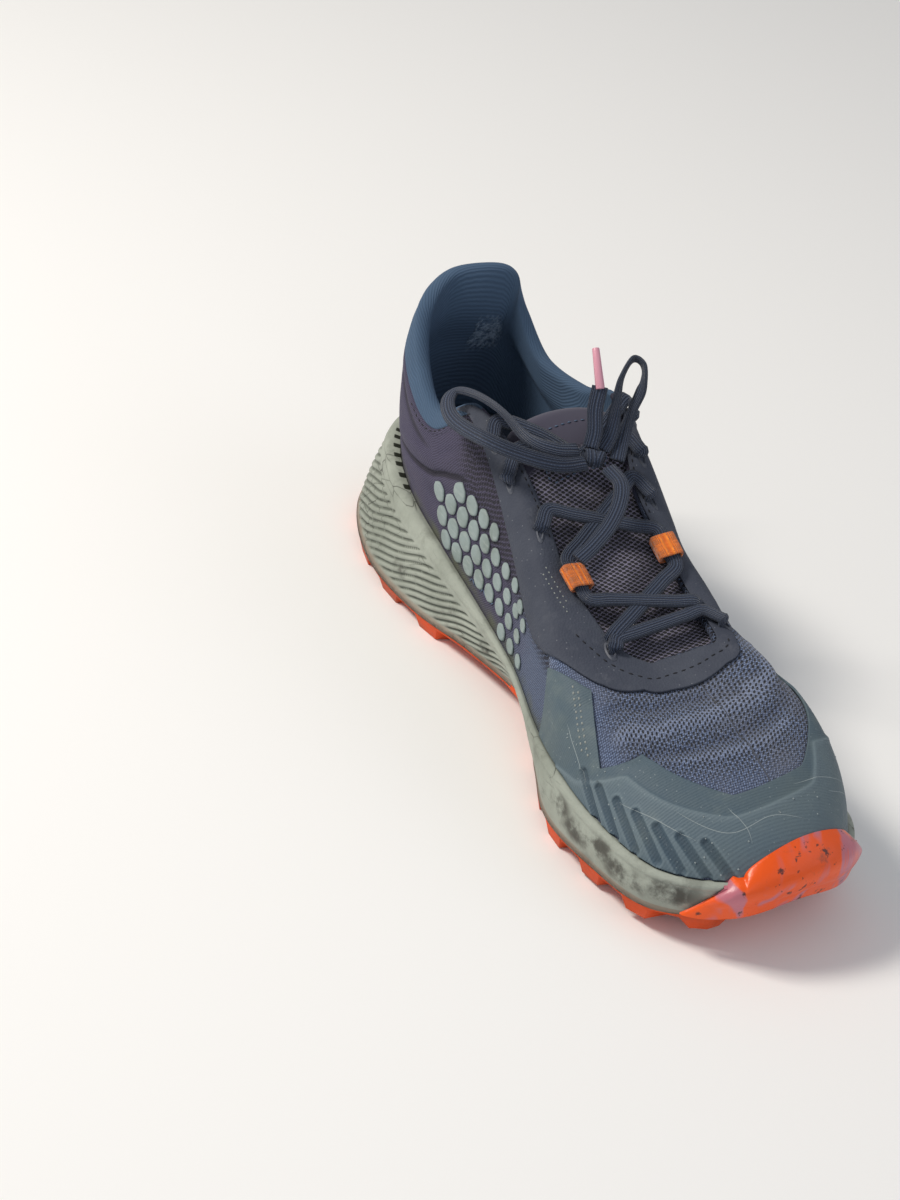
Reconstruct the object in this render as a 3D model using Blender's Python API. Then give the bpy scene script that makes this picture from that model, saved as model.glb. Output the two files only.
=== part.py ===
# A right trail running shoe, standing empty on its sole.
# Metres, +Z up, toe towards -Y, outer side towards -X, origin under the middle of the shoe.
# Every surface follows 24 stations round the last: 0 is the back of the heel, 1 to 11 run
# along the outer side, 12 is the tip of the toe and 13 to 23 come back along the inner side.

import bmesh
import bpy
import numpy as np

# Driving sizes
LENGTH = 0.305
BALL_WIDTH = 0.102
HEEL_STACK = 0.048
HEEL_HEIGHT = 0.1155
INSTEP_HEIGHT = 0.100
TOE_SPRING = 0.013
HEEL_FLARE = 0.008
RAIL_WIDTH = 0.005

# Thicknesses and depths
GAP = 0.0003
UPPER_WALL = 0.0022
COLLAR_WALL = 0.0030
SEAT_DEPTH = 0.003
OUTSOLE_BASE = 0.0025
LUG_HEIGHT = 0.0042
LUG_ROUNDING = 0.0012
LUG_TAPER = 0.0014
LUG_LEAST = 0.0022
CHEVRON = 0.007
CUP_DEPTH = 0.010
CUP_FADE = 0.45
INSOLE_THICKNESS = 0.004
INSOLE_MARGIN = 0.0022
TONGUE_THICKNESS = 0.004
TONGUE_REACH = 0.005
FILM = 0.0008
FILM_CLEARANCE = 0.0005
BUMPER_THICKNESS = 0.0026
RIB_DEPTH = 0.0013
RAIL_BULGE = 0.0012
LACE_WIDTH = 0.0064
LACE_THICKNESS = 0.0024
CORD_RADIUS = 0.0021
KNOT_RADIUS = 0.0036
AGLET_RADIUS = 0.0016
WEBBING = 0.0010
WEBBING_WIDTH = 0.0100

# Counts
STATIONS = 24
DIVISIONS = 60
RIB_COUNT = 7
SOLE_COLUMNS = 6
BED_COLUMNS = 5

# Sole at each station: side as a share of BALL_WIDTH, along as a share of LENGTH, rail height as
# a share of HEEL_STACK, lift of the lower edge as a share of TOE_SPRING, flare of the lower edge
# as a share of HEEL_FLARE, and the rail's width as a share of RAIL_WIDTH.
SOLE_STATIONS = [
    (0.065, 0.007, 1.000, 0.46, 0.92, 1.00),
    (-0.145, 0.029, 0.935, 0.31, 1.05, 1.00),
    (-0.265, 0.090, 0.865, 0.08, 1.02, 1.05),
    (-0.330, 0.188, 0.810, 0.00, 1.00, 0.92),
    (-0.340, 0.302, 0.745, 0.05, 0.50, 0.72),
    (-0.335, 0.413, 0.650, 0.25, -0.46, 0.64),
    (-0.350, 0.532, 0.585, 0.34, -1.25, 0.50),
    (-0.430, 0.648, 0.575, 0.17, -0.70, 0.50),
    (-0.475, 0.738, 0.590, 0.08, -0.20, 0.58),
    (-0.455, 0.837, 0.550, 0.20, -0.18, 0.58),
    (-0.365, 0.931, 0.545, 0.40, 0.00, 0.58),
    (-0.150, 0.988, 0.620, 0.72, -0.18, 0.60),
    (0.105, 0.995, 0.690, 1.00, -0.45, 0.64),
    (0.320, 0.973, 0.660, 0.77, -0.34, 0.70),
    (0.460, 0.913, 0.600, 0.42, -0.05, 0.76),
    (0.515, 0.831, 0.515, 0.15, 0.10, 0.76),
    (0.520, 0.743, 0.475, 0.04, 0.10, 0.76),
    (0.480, 0.647, 0.510, 0.08, 0.10, 0.78),
    (0.435, 0.539, 0.630, 0.23, 0.12, 0.70),
    (0.405, 0.426, 0.770, 0.31, 0.25, 0.86),
    (0.400, 0.311, 0.820, 0.08, 0.50, 1.00),
    (0.430, 0.190, 0.860, 0.04, 0.75, 1.20),
    (0.400, 0.085, 0.925, 0.08, 0.80, 1.20),
    (0.275, 0.023, 0.985, 0.31, 0.84, 1.00),
]

# Opening of the upper at each station: side as a share of BALL_WIDTH, along as a share of LENGTH
# and height as a share of HEEL_HEIGHT round the collar or of INSTEP_HEIGHT round the throat.
# Then the swell of the wall low down, its rise, its swell high up and its drop under the edge:
# the swells are shares of BALL_WIDTH, the rise and the drop are shares of the wall's own height.
UPPER_STATIONS = [
    (0.100, 0.043, 1.000, 0.020, 0.50, -0.105, 0.33),
    (-0.070, 0.038, 0.970, 0.045, 0.51, -0.040, 0.30),
    (-0.205, 0.070, 0.890, 0.065, 0.46, 0.035, 0.29),
    (-0.275, 0.144, 0.750, 0.060, 0.46, 0.050, 0.29),
    (-0.305, 0.223, 0.715, 0.030, 0.43, 0.045, 0.26),
    (-0.265, 0.297, 0.995, 0.010, 0.29, 0.060, 0.12),
    (-0.210, 0.380, 0.925, 0.010, 0.31, 0.080, 0.09),
    (-0.195, 0.463, 0.810, 0.010, 0.38, 0.080, 0.09),
    (-0.195, 0.544, 0.690, 0.010, 0.50, 0.080, 0.10),
    (-0.145, 0.637, 0.590, 0.010, 0.62, 0.080, 0.09),
    (-0.055, 0.675, 0.560, 0.010, 0.75, 0.100, 0.03),
    (0.015, 0.676, 0.565, 0.010, 0.86, 0.110, -0.02),
    (0.070, 0.677, 0.580, 0.010, 0.97, 0.125, -0.04),
    (0.140, 0.678, 0.600, 0.010, 0.83, 0.125, -0.08),
    (0.215, 0.676, 0.625, 0.010, 0.69, 0.135, -0.10),
    (0.235, 0.611, 0.645, 0.010, 0.52, 0.085, 0.03),
    (0.225, 0.524, 0.730, 0.010, 0.39, 0.050, 0.12),
    (0.215, 0.433, 0.855, 0.005, 0.31, 0.035, 0.13),
    (0.270, 0.352, 1.000, 0.000, 0.28, 0.035, 0.12),
    (0.370, 0.279, 0.960, -0.010, 0.38, 0.045, 0.20),
    (0.400, 0.202, 0.720, 0.000, 0.50, 0.030, 0.32),
    (0.335, 0.128, 0.730, 0.030, 0.55, 0.010, 0.37),
    (0.280, 0.075, 0.860, 0.035, 0.55, -0.025, 0.33),
    (0.225, 0.051, 0.975, 0.030, 0.52, -0.080, 0.31),
]
COLLAR_STATIONS = (0, 1, 2, 3, 4, 20, 21, 22, 23)
LOWER_PULL = 0.10
UPPER_PULL = 0.35

# Where the levels of the wall stand, as shares of its height, and how far its edge is rolled
OUTER_LEVELS = (0.0, 0.08, 0.17, 0.28, 0.40, 0.52, 0.64, 0.76, 0.86, 0.94, 1.0)
INNER_LEVELS = (1.0, 0.92, 0.80, 0.66, 0.52, 0.38, 0.24, 0.10, 0.0)
EDGE_ROLL = 0.35

# Features of the sole: stations where the cup gets shallower, stations of the bare arch, levels
# of the ribs and of the rail's foot, and how near to the heel the ribs and the collar's wall fade
CUP_FADE_STATIONS = (4, 8)
ARCH_START = 4.8
ARCH_END = 6.2
RIB_FOOT = 0.06
RIB_TOP = 0.76
RAIL_FOOT = 0.90
RIB_BLEND = (5.6, 7.2)
COLLAR_BLEND = (0.5, 0.7)

# Edges of the films, as station number and share of the way up the upper
TOE_GUARD_FOOT = 0.05
TOE_GUARD_LINE = [(7.2, 0.14), (7.6, 0.40), (8.4, 0.54), (8.8, 0.60), (9.2, 0.33), (9.8, 0.50),
                  (11.1, 0.38), (12.7, 0.42), (14.3, 0.60), (15.2, 0.56), (16.2, 0.42), (16.6, 0.14)]
STEEP_EDGE = 0.15
EYESTAY_EDGE = 0.985
EYESTAY_LINE = [(5.2, 0.72), (6.0, 0.58), (7.0, 0.40), (8.0, 0.54), (9.0, 0.72), (10.0, 0.84),
                (12.0, 0.86), (13.4, 0.88), (14.5, 0.86), (16.0, 0.74), (17.5, 0.62), (18.8, 0.70)]
BUMPER_START = 11.1
BUMPER_END = 13.25
BUMPER_LOW = 0.03
BUMPER_TOP = 0.15

# The tongue, by the stations and the share of the way up where it leaves the upper's inside
TONGUE_FRONT = 10.3
TONGUE_BACK = 5.7
TONGUE_ROOT = 0.86
TONGUE_ARCH = 0.30
TONGUE_DIP = 0.0025
TONGUE_CLEARANCE = 0.0014
TONGUE_TAPER = 0.90

# Lace strands: station at the outer and the inner end, share of the way up there, and how far
# the strand's middle is pulled towards the toe
LACE_CLEARANCE = 0.0011
CORD_STEP = 2.5
LACE_FLAT = 0.62
WEBBING_HEIGHT = 0.0050
WEBBING_ROUNDING = 0.6
LACE_STRANDS = {
    "lace_crossing_front": [(9.1, 14.7, 0.95, 0.92, 0.0), (9.0, 15.6, 1.0, 1.0, 0.0),
                            (8.4, 14.9, 1.0, 1.0, 0.0)],
    "lace_crossing_middle": [(7.8, 17.0, 1.0, 0.90, 0.0), (7.0, 16.2, 0.90, 1.0, 0.0)],
    "lace_crossing_top": [(6.0, 17.6, 0.84, 0.90, 0.006), (5.5, 18.3, 0.90, 0.92, 0.022)],
}

# Routes of the free lace, in millimetres
KNOT = [(-2, 22.8, 96.7), (1, 21.4, 96.7), (5, 19, 96.2)]
BOW_OUTER = [(-5, 24.2, 99), (-16, 22, 102), (-25, 28, 104), (-29, 44, 107), (-32, 58, 106),
             (-36, 68, 103), (-42, 63, 101), (-45, 50, 101), (-42, 31, 104), (-31, 21, 102),
             (-17, 16, 99), (-3.8, 18.9, 96.4)]
BOW_INNER = [(4.9, 22.3, 99.4), (9, 25, 105), (12, 30, 114), (15, 35, 122), (21, 39, 128),
             (24, 35, 127), (22, 30, 121), (19, 29, 111), (14, 24, 102), (9.6, 18.2, 96.6)]
END_INNER = [(0, 23.2, 100.4), (2, 25.8, 106), (3, 30, 113), (5, 33, 121)]
AGLET_LINE = [(5, 33.4, 121.6), (6, 43, 132)]
END_OUTER = [(5.0, 15.9, 95.1), (6, 7, 93.5), (2, -1, 90), (-6, -9, 86), (-16, -16, 83),
             (-23, -19, 80)]


# Curves through the stations

def through_stations(values, u):
    # A closed Catmull-Rom curve through one value per station, read at station number u.
    values = np.asarray(values, float)
    place = np.asarray(u, float) % STATIONS
    index = np.floor(place).astype(int)
    t = place - index
    before = values[(index - 1) % STATIONS]
    here = values[index % STATIONS]
    after = values[(index + 1) % STATIONS]
    beyond = values[(index + 2) % STATIONS]
    slope = (after - before) * t
    bend = (2 * before - 5 * here + 4 * after - beyond) * t**2
    twist = (3 * here - before - 3 * after + beyond) * t**3
    return 0.5 * (2 * here + slope + bend + twist)


def station_sizes():
    # The shares of both tables turned into metres, one list for each column.
    columns = {}
    sole = np.array(SOLE_STATIONS)
    upper = np.array(UPPER_STATIONS)
    columns["side"] = sole[:, 0] * BALL_WIDTH
    columns["along"] = sole[:, 1] * LENGTH
    columns["rail"] = sole[:, 2] * HEEL_STACK
    columns["edge"] = GAP + OUTSOLE_BASE + LUG_HEIGHT + sole[:, 3] * TOE_SPRING
    columns["flare"] = sole[:, 4] * HEEL_FLARE
    columns["rim"] = sole[:, 5] * RAIL_WIDTH
    top = np.full(STATIONS, INSTEP_HEIGHT)
    top[list(COLLAR_STATIONS)] = HEEL_HEIGHT
    rise = upper[:, 2] * top - columns["rail"]
    columns["open_side"] = upper[:, 0] * BALL_WIDTH
    columns["open_along"] = upper[:, 1] * LENGTH
    columns["open_height"] = upper[:, 2] * top
    columns["low_swell"] = upper[:, 3] * BALL_WIDTH
    columns["low_rise"] = upper[:, 4] * rise
    columns["high_swell"] = upper[:, 5] * BALL_WIDTH
    columns["high_drop"] = upper[:, 6] * rise
    return columns


SIZES = station_sizes()


def at(column, u):
    return through_stations(SIZES[column], u)


def outward(u):
    # The level direction that points out of the sole's outline, as (side, along).
    step = 0.001
    side = at("side", u + step) - at("side", u - step)
    along = at("along", u + step) - at("along", u - step)
    size = np.hypot(side, along)
    return -along / size, side / size


def placed(side, along, height):
    return np.stack(np.broadcast_arrays(side, along, height), -1)


def outline(u, offset, height):
    # A point of the outline, moved outwards by offset.
    out_side, out_along = outward(u)
    return placed(at("side", u) + out_side * offset, at("along", u) + out_along * offset, height)


def blend(low, high, x):
    t = np.clip((np.asarray(x, float) - low) / (high - low), 0, 1)
    return t * t * (3 - 2 * t)


# The two main surfaces

def sole_wall(u, v, lift=0.0):
    # The side of the midsole, from its lower edge at v 0 to its rail at v 1.
    swell = RAIL_BULGE * np.sin(np.pi * v)
    height = at("edge", u) + (at("rail", u) - at("edge", u)) * v
    return outline(u, at("flare", u) * (1 - v) + swell + lift, height)


def upper_wall(u, v):
    # The outer face of the upper, from its foot beside the rail at v 0 to its opening at v 1.
    out_side, out_along = outward(u)
    foot = outline(u, -at("rim", u), at("rail", u))
    edge = placed(at("open_side", u), at("open_along", u), at("open_height", u))
    across = edge - foot
    across[..., 2] = 0
    low = placed(out_side * at("low_swell", u), out_along * at("low_swell", u), at("low_rise", u))
    high = placed(out_side * at("high_swell", u), out_along * at("high_swell", u), -at("high_drop", u))
    lower = foot + LOWER_PULL * across + low
    upper = edge - UPPER_PULL * across + high
    t = np.asarray(v, float)[..., None]
    return (1 - t)**3 * foot + 3 * (1 - t)**2 * t * lower + 3 * (1 - t) * t**2 * upper + t**3 * edge


def upper_normal(u, v):
    step = 0.002
    round_it = upper_wall(u + step, v) - upper_wall(u - step, v)
    up_it = upper_wall(u, v + step) - upper_wall(u, v - step)
    normal = np.cross(up_it, round_it)
    return normal / np.linalg.norm(normal, axis=-1, keepdims=True)


def upper_skin(u, v, offset):
    # The upper's outer face moved outwards by offset along its own normal, level at the foot.
    u, v = np.broadcast_arrays(np.asarray(u, float), np.asarray(v, float))
    out_side, out_along = outward(u)
    level = placed(out_side, out_along, 0.0)
    share = blend(0.0, 0.15, v)[..., None]
    normal = level * (1 - share) + upper_normal(u, v) * share
    return upper_wall(u, v) + normal * offset


def wall_at(u):
    # The wall is thicker round the collar than round the throat.
    nearness = np.abs((np.asarray(u, float) - 12) / 12)
    return UPPER_WALL + (COLLAR_WALL - UPPER_WALL) * blend(*COLLAR_BLEND, nearness)


def middle():
    # The middle of the box round the sole, which the origin stands under.
    u = np.linspace(0, STATIONS, 40 * STATIONS)
    v = np.linspace(0, 1, 9)[:, None]
    points = sole_wall(u, v).reshape(-1, 3)
    over = GAP + RAIL_BULGE * (1 - np.sin(np.pi * v)) + BUMPER_THICKNESS
    tip = sole_wall(np.linspace(BUMPER_START, BUMPER_END, 21), v, over).reshape(-1, 3)
    points = np.concatenate([points, tip])
    return (points.min(0) + points.max(0)) / 2


MIDDLE = middle()


def world(points):
    # From side, along, height to X, Y, Z.
    points = np.asarray(points, float)
    return np.stack([points[..., 0] - MIDDLE[0], MIDDLE[1] - points[..., 1], points[..., 2]], -1)


# Meshes and materials

def material(name, colour, roughness, metallic=0.0):
    made = bpy.data.materials.new(name)
    made.use_nodes = True
    shader = made.node_tree.nodes["Principled BSDF"]
    shader.inputs["Base Color"].default_value = (*colour, 1.0)
    shader.inputs["Roughness"].default_value = roughness
    shader.inputs["Metallic"].default_value = metallic
    return made


def finish(bm, name, look, angle=35.0):
    bmesh.ops.recalc_face_normals(bm, faces=bm.faces)
    mesh = bpy.data.meshes.new(name)
    bm.to_mesh(mesh)
    bm.free()
    mesh.shade_smooth()
    mesh.set_sharp_from_angle(angle=np.radians(angle))
    mesh.materials.append(look)
    made = bpy.data.objects.new(name, mesh)
    bpy.context.scene.collection.objects.link(made)
    return made


def ring_of(bm, points):
    return [bm.verts.new(point) for point in world(points)]


def bridge(bm, first, second, closed=True):
    # Quads between two rows with as many points.
    count = len(first)
    for i in range(count if closed else count - 1):
        j = (i + 1) % count
        bm.faces.new((first[i], first[j], second[j], second[i]))


def skin(bm, rings):
    # Rings round the shoe, each bridged to the next.
    rows = [ring_of(bm, ring) for ring in rings]
    for first, second in zip(rows, rows[1:]):
        bridge(bm, first, second)
    return rows


def rows_across(bm, ring, between, columns):
    # Closes a ring with rows from the outer side to the inner side, one for each pair of points.
    # Returns the faces by row and column.
    half = DIVISIONS // 2
    rows = [[ring[0]] * (columns + 1)]
    for i in range(1, half):
        u = STATIONS * i / DIVISIONS
        points = between(u, np.arange(1, columns) / columns)
        rows.append([ring[i], *ring_of(bm, points), ring[DIVISIONS - i]])
    rows.append([ring[half]] * (columns + 1))
    faces = {}
    for i in range(half):
        for k in range(columns):
            corners = [rows[i][k], rows[i][k + 1], rows[i + 1][k + 1], rows[i + 1][k]]
            corners = list(dict.fromkeys(corners))
            faces[i, k] = bm.faces.new(corners)
    return faces


def tube(bm, sections, ends=True):
    # Closed sections in order along a piece, bridged, with the two ends filled.
    rows = [ring_of(bm, section) for section in sections]
    for first, second in zip(rows, rows[1:]):
        bridge(bm, first, second)
    if ends:
        bm.faces.new(rows[0])
        bm.faces.new(rows[-1])
    else:
        bridge(bm, rows[-1], rows[0])
    return rows


AROUND = np.arange(DIVISIONS) * STATIONS / DIVISIONS


# Sole

def underside(u, w, drop=0.0):
    # The foam's lower face, from the outer edge at w 0 to the inner edge at w 1, in chevron rows.
    outer = sole_wall(u, 0.0)
    inner = sole_wall(STATIONS - u, 0.0)
    w = np.asarray(w, float)
    points = outer + (inner - outer) * w[..., None]
    points[..., 1] += CHEVRON * (1 - np.abs(2 * w - 1)) * blend(1, 3, u) * (1 - blend(9, 11, u))
    points[..., 2] -= drop
    return points


def inset_line(u, margin, height):
    # A line inside the upper's foot, set in from its wall by margin, height above the seat.
    inset = -at("rim", u) - wall_at(u) - margin
    return outline(u, inset, at("rail", u) - SEAT_DEPTH - GAP + height)


def bed(u, w, margin=GAP, lift=0.0):
    # The cupped top of the foam inside its seat.
    outer = inset_line(u, margin, lift)
    inner = inset_line(STATIONS - u, margin, lift)
    w = np.asarray(w, float)
    points = outer + (inner - outer) * w[..., None]
    heel_to_toe = np.sin(np.pi * u / (STATIONS / 2)) ** 0.5
    depth = CUP_DEPTH * (1 - CUP_FADE * blend(*CUP_FADE_STATIONS, u)) * heel_to_toe
    points[..., 2] -= depth * (1 - (2 * w - 1)**4)
    return points


def rib_share(u):
    # The ribs show round the heel and fade out towards the forefoot on both sides.
    nearness = np.abs(np.asarray(u, float) - 12)
    return blend(*RIB_BLEND, nearness)


def make_midsole(look):
    bm = bmesh.new()
    rings = [sole_wall(AROUND, 0.0)]
    levels = np.linspace(RIB_FOOT, RIB_TOP, 2 * RIB_COUNT + 1)
    for number, level in enumerate(levels):
        lift = -RIB_DEPTH * rib_share(AROUND) * (number % 2)
        rings.append(sole_wall(AROUND, level, lift))
    rings.append(sole_wall(AROUND, RAIL_FOOT, RAIL_BULGE / 2))
    rings.append(sole_wall(AROUND, 1.0))
    rings.append(outline(AROUND, -at("rim", AROUND) + GAP, at("rail", AROUND)))
    floor = at("rail", AROUND) - SEAT_DEPTH - GAP
    rings.append(outline(AROUND, -at("rim", AROUND) + GAP, floor))
    rings.append(inset_line(AROUND, GAP, 0.0))
    rows = skin(bm, rings)
    rows_across(bm, rows[-1], bed, BED_COLUMNS)
    rows_across(bm, rows[0], underside, SOLE_COLUMNS)
    return finish(bm, "midsole", look, 30)


def lug_here(row, column):
    # Staggered lugs, none on the bare arch.
    u = STATIONS * (row + 0.5) / DIVISIONS
    bare = ARCH_START < u < ARCH_END
    return not bare and (row + column) % 2 == 0 and 0 < row < DIVISIONS // 2 - 1


def make_outsole(look):
    bm = bmesh.new()
    top = sole_wall(AROUND, 0.0) - np.array([0, 0, GAP])
    foot = sole_wall(AROUND, 0.0) - np.array([0, 0, GAP + OUTSOLE_BASE])
    rows = skin(bm, [top, foot])
    rows_across(bm, rows[0], lambda u, w: underside(u, w, GAP), SOLE_COLUMNS)
    tread = rows_across(bm, rows[1], lambda u, w: underside(u, w, GAP + OUTSOLE_BASE), SOLE_COLUMNS)
    # A cell too narrow to carry a lug of its least width stays bare, as at the very tip.
    lugs = [
        face
        for place, face in tread.items()
        if lug_here(*place)
        and face.calc_area() / max(edge.calc_length() for edge in face.edges) > 2 * LUG_TAPER + LUG_LEAST
    ]
    for lug in lugs:
        bmesh.ops.inset_individual(bm, faces=[lug], thickness=LUG_TAPER, use_even_offset=True)
        for vert in lug.verts:
            vert.co.z = max(0.0, vert.co.z - LUG_HEIGHT - LUG_ROUNDING)
    return finish(bm, "outsole", look, 25)


def make_insole(look):
    bm = bmesh.new()
    low = GAP
    high = INSOLE_THICKNESS
    rows = skin(bm, [inset_line(AROUND, INSOLE_MARGIN, low), inset_line(AROUND, INSOLE_MARGIN, high)])
    rows_across(bm, rows[0], lambda u, w: bed(u, w, INSOLE_MARGIN, low), BED_COLUMNS)
    rows_across(bm, rows[1], lambda u, w: bed(u, w, INSOLE_MARGIN, high), BED_COLUMNS)
    return finish(bm, "insole", look, 40)


# Upper

def make_upper(look):
    bm = bmesh.new()
    wall = wall_at(AROUND)
    drop = np.array([0, 0, SEAT_DEPTH])
    rings = [upper_wall(AROUND, 0.0) - drop]
    for v in OUTER_LEVELS:
        rings.append(upper_skin(AROUND, v, 0.0))
    edge = upper_skin(AROUND, 1.0, 0.0)
    under = upper_skin(AROUND, 1.0, -wall[:, None])
    brim = edge - upper_wall(AROUND, OUTER_LEVELS[-2])
    brim /= np.linalg.norm(brim, axis=-1, keepdims=True)
    rings.append((edge + under) / 2 + brim * wall[:, None] * EDGE_ROLL)
    for v in INNER_LEVELS:
        rings.append(upper_skin(AROUND, v, -wall[:, None]))
    rings.append(rings[-1] - drop)
    rows = skin(bm, rings)
    bridge(bm, rows[-1], rows[0])
    return finish(bm, "upper", look, 40)


# Films over the upper

def lines_between(line):
    # The upper's own upright lines along an edge, with closer ones where the edge climbs steeply.
    places = AROUND[(AROUND > line[0][0] - 0.01) & (AROUND < line[-1][0] + 0.01)]
    climbs = np.abs(np.diff(np.interp(places, *np.transpose(line))))
    extra = [np.linspace(a, b, 4)[1:3] for a, b, climb in zip(places, places[1:], climbs)
             if climb > STEEP_EDGE]
    return np.sort(np.concatenate([places, *extra]))


def film(bm, u, low, high, rows):
    # A thin skin over the upper between two lines, given by v at each u, with closed ends.
    sections = []
    for here, bottom, top in zip(u, low, high):
        v = np.linspace(bottom, top, rows)
        outer = upper_skin(here, v, FILM_CLEARANCE + FILM)
        inner = upper_skin(here, v[::-1], FILM_CLEARANCE)
        sections.append(np.concatenate([outer, inner]))
    return tube(bm, sections)


def make_toe_guard(look):
    bm = bmesh.new()
    u = lines_between(TOE_GUARD_LINE)
    top = np.interp(u, *np.transpose(TOE_GUARD_LINE))
    low = np.maximum(TOE_GUARD_FOOT, bumper_line(u) + BUMPER_LOW)
    film(bm, u, low, top, 6)
    return finish(bm, "toe_guard", look, 50)


def make_eyestay(look):
    bm = bmesh.new()
    u = lines_between(EYESTAY_LINE)
    low = np.interp(u, *np.transpose(EYESTAY_LINE))
    high = np.full(len(u), EYESTAY_EDGE)
    film(bm, u, low, high, 6)
    return finish(bm, "eyestay", look, 50)


def bumper_line(u):
    # How far up the upper the bumper reaches, as a share of the way up.
    part = np.clip((np.asarray(u, float) - BUMPER_START) / (BUMPER_END - BUMPER_START), 0, 1)
    return BUMPER_LOW + (BUMPER_TOP - BUMPER_LOW) * np.sin(np.pi * part)**0.5


def make_toe_bumper(look):
    # Follows the foam's wall, steps in over the rail and ends on the upper.
    bm = bmesh.new()
    sections = []
    for u in np.linspace(BUMPER_START, BUMPER_END, 9):
        levels = np.array([0.06, 0.5, 1.0])
        climbs = np.array([0.6, 1.0]) * bumper_line(u)
        over = GAP + RAIL_BULGE * (1 - np.sin(np.pi * levels))
        wall = sole_wall(u, levels, over)
        skin_inner = upper_skin(u, climbs, GAP * 2)
        wall_outer = sole_wall(u, levels, over + BUMPER_THICKNESS)
        skin_outer = upper_skin(u, climbs, GAP * 2 + BUMPER_THICKNESS * np.array([0.8, 0.4])[:, None])
        sections.append(np.concatenate([wall, skin_inner, skin_outer[::-1], wall_outer[::-1]]))
    tube(bm, sections)
    return finish(bm, "toe_bumper", look, 40)


# Tongue

def tongue_surface(q, w, sink=0.0):
    # Rows across the throat from front at q 0 to top at q 1, leaving the upper's inside smoothly.
    u = TONGUE_FRONT + (TONGUE_BACK - TONGUE_FRONT) * q
    rise = blend(0.0, 0.35, q)
    sink = sink + TONGUE_DIP * (1 - rise)
    ends = []
    for place in (u, STATIONS - u):
        hidden = -float(wall_at(place)) - TONGUE_CLEARANCE - sink
        root = upper_skin(place, TONGUE_ROOT, hidden)
        ahead = upper_skin(place, 1.0, hidden) - root
        ends.append((root, ahead / np.linalg.norm(ahead)))
    (outer, outer_way), (inner, inner_way) = ends
    reach = np.linalg.norm(inner - outer) * TONGUE_ARCH * rise
    t = np.asarray(w, float)[..., None]
    near = outer + outer_way * reach
    far = inner + inner_way * reach
    return (1 - t)**3 * outer + 3 * (1 - t)**2 * t * near + 3 * (1 - t) * t**2 * far + t**3 * inner


def make_tongue(look):
    bm = bmesh.new()
    w = np.linspace(0, 1, 8)
    sections = []
    for q in np.linspace(0, 1, 12):
        top = tongue_surface(q, w)
        under = tongue_surface(q, w[::-1], TONGUE_THICKNESS)
        sections.append(np.concatenate([top, under]))
    way = sections[-1] - sections[-2]
    way = way.mean(0) / np.linalg.norm(way.mean(0))
    last = sections[-1]
    centre = last.mean(0)
    sections.append(centre + (last - centre) * TONGUE_TAPER + way * TONGUE_REACH)
    tube(bm, sections)
    return finish(bm, "tongue", look, 50)


# Laces

def smooth_line(points, count):
    # Evenly read points of a smooth curve through the given ones.
    points = np.asarray(points, float)
    padded = np.vstack([2 * points[0] - points[1], points, 2 * points[-1] - points[-2]])
    t = np.linspace(0, len(points) - 1, 12 * len(points))
    index = np.minimum(t.astype(int), len(points) - 2)
    part = (t - index)[:, None]
    a, b, c, d = (padded[index + shift] for shift in range(4))
    curve = 0.5 * (2 * b + (c - a) * part + (2 * a - 5 * b + 4 * c - d) * part**2
                   + (3 * b - a - 3 * c + d) * part**3)
    run = np.concatenate([[0], np.cumsum(np.linalg.norm(np.diff(curve, axis=0), axis=1))])
    even = np.linspace(0, run[-1], count)
    return np.stack([np.interp(even, run, curve[:, axis]) for axis in range(3)], -1)


def strand_line(outer_u, inner_u, outer_v, inner_v, pull):
    # From an eyelet on the outer side over the tongue to one on the inner side, with its middle
    # pulled towards the toe. Returns the line and the directions that the broad side faces.
    over = FILM_CLEARANCE + FILM + LACE_CLEARANCE + LACE_THICKNESS / 2
    start = [(outer_u, outer_v), (outer_u, 1.0)] if outer_v < 1 else [(outer_u, 1.0)]
    end = [(inner_u, 1.0), (inner_u, inner_v)] if inner_v < 1 else [(inner_u, 1.0)]
    line = [upper_skin(u, v, over) for u, v in start]
    faces = [upper_normal(u, v) for u, v in start]
    edge = line[-1]
    far_edge = upper_skin(*end[0], over)
    far_face = upper_normal(*end[0])
    near_face = faces[-1]
    tongue_length = tongue_surface(0.0, 0.5)[1] - tongue_surface(1.0, 0.5)[1]
    outer_q = (outer_u - TONGUE_FRONT) / (TONGUE_BACK - TONGUE_FRONT)
    inner_q = (STATIONS - inner_u - TONGUE_FRONT) / (TONGUE_BACK - TONGUE_FRONT)
    for w in (0.2, 0.35, 0.5, 0.65, 0.8):
        bend = 1 - abs(2 * w - 1)
        shift = pull * bend
        q = outer_q + (inner_q - outer_q) * w - shift / tongue_length
        cover = tongue_surface(np.clip(q, 0, 1), w)[2] + over
        point = edge + (far_edge - edge) * w
        point[1] += shift
        point[2] = max(point[2] - shift * bend / 2, cover)
        line.append(point)
        faces.append(near_face * (1 - w) + far_face * w)
    line += [upper_skin(u, v, over) for u, v in end]
    faces += [upper_normal(u, v) for u, v in end]
    return smooth_line(line, 13), smooth_line(faces, 13)


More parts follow.
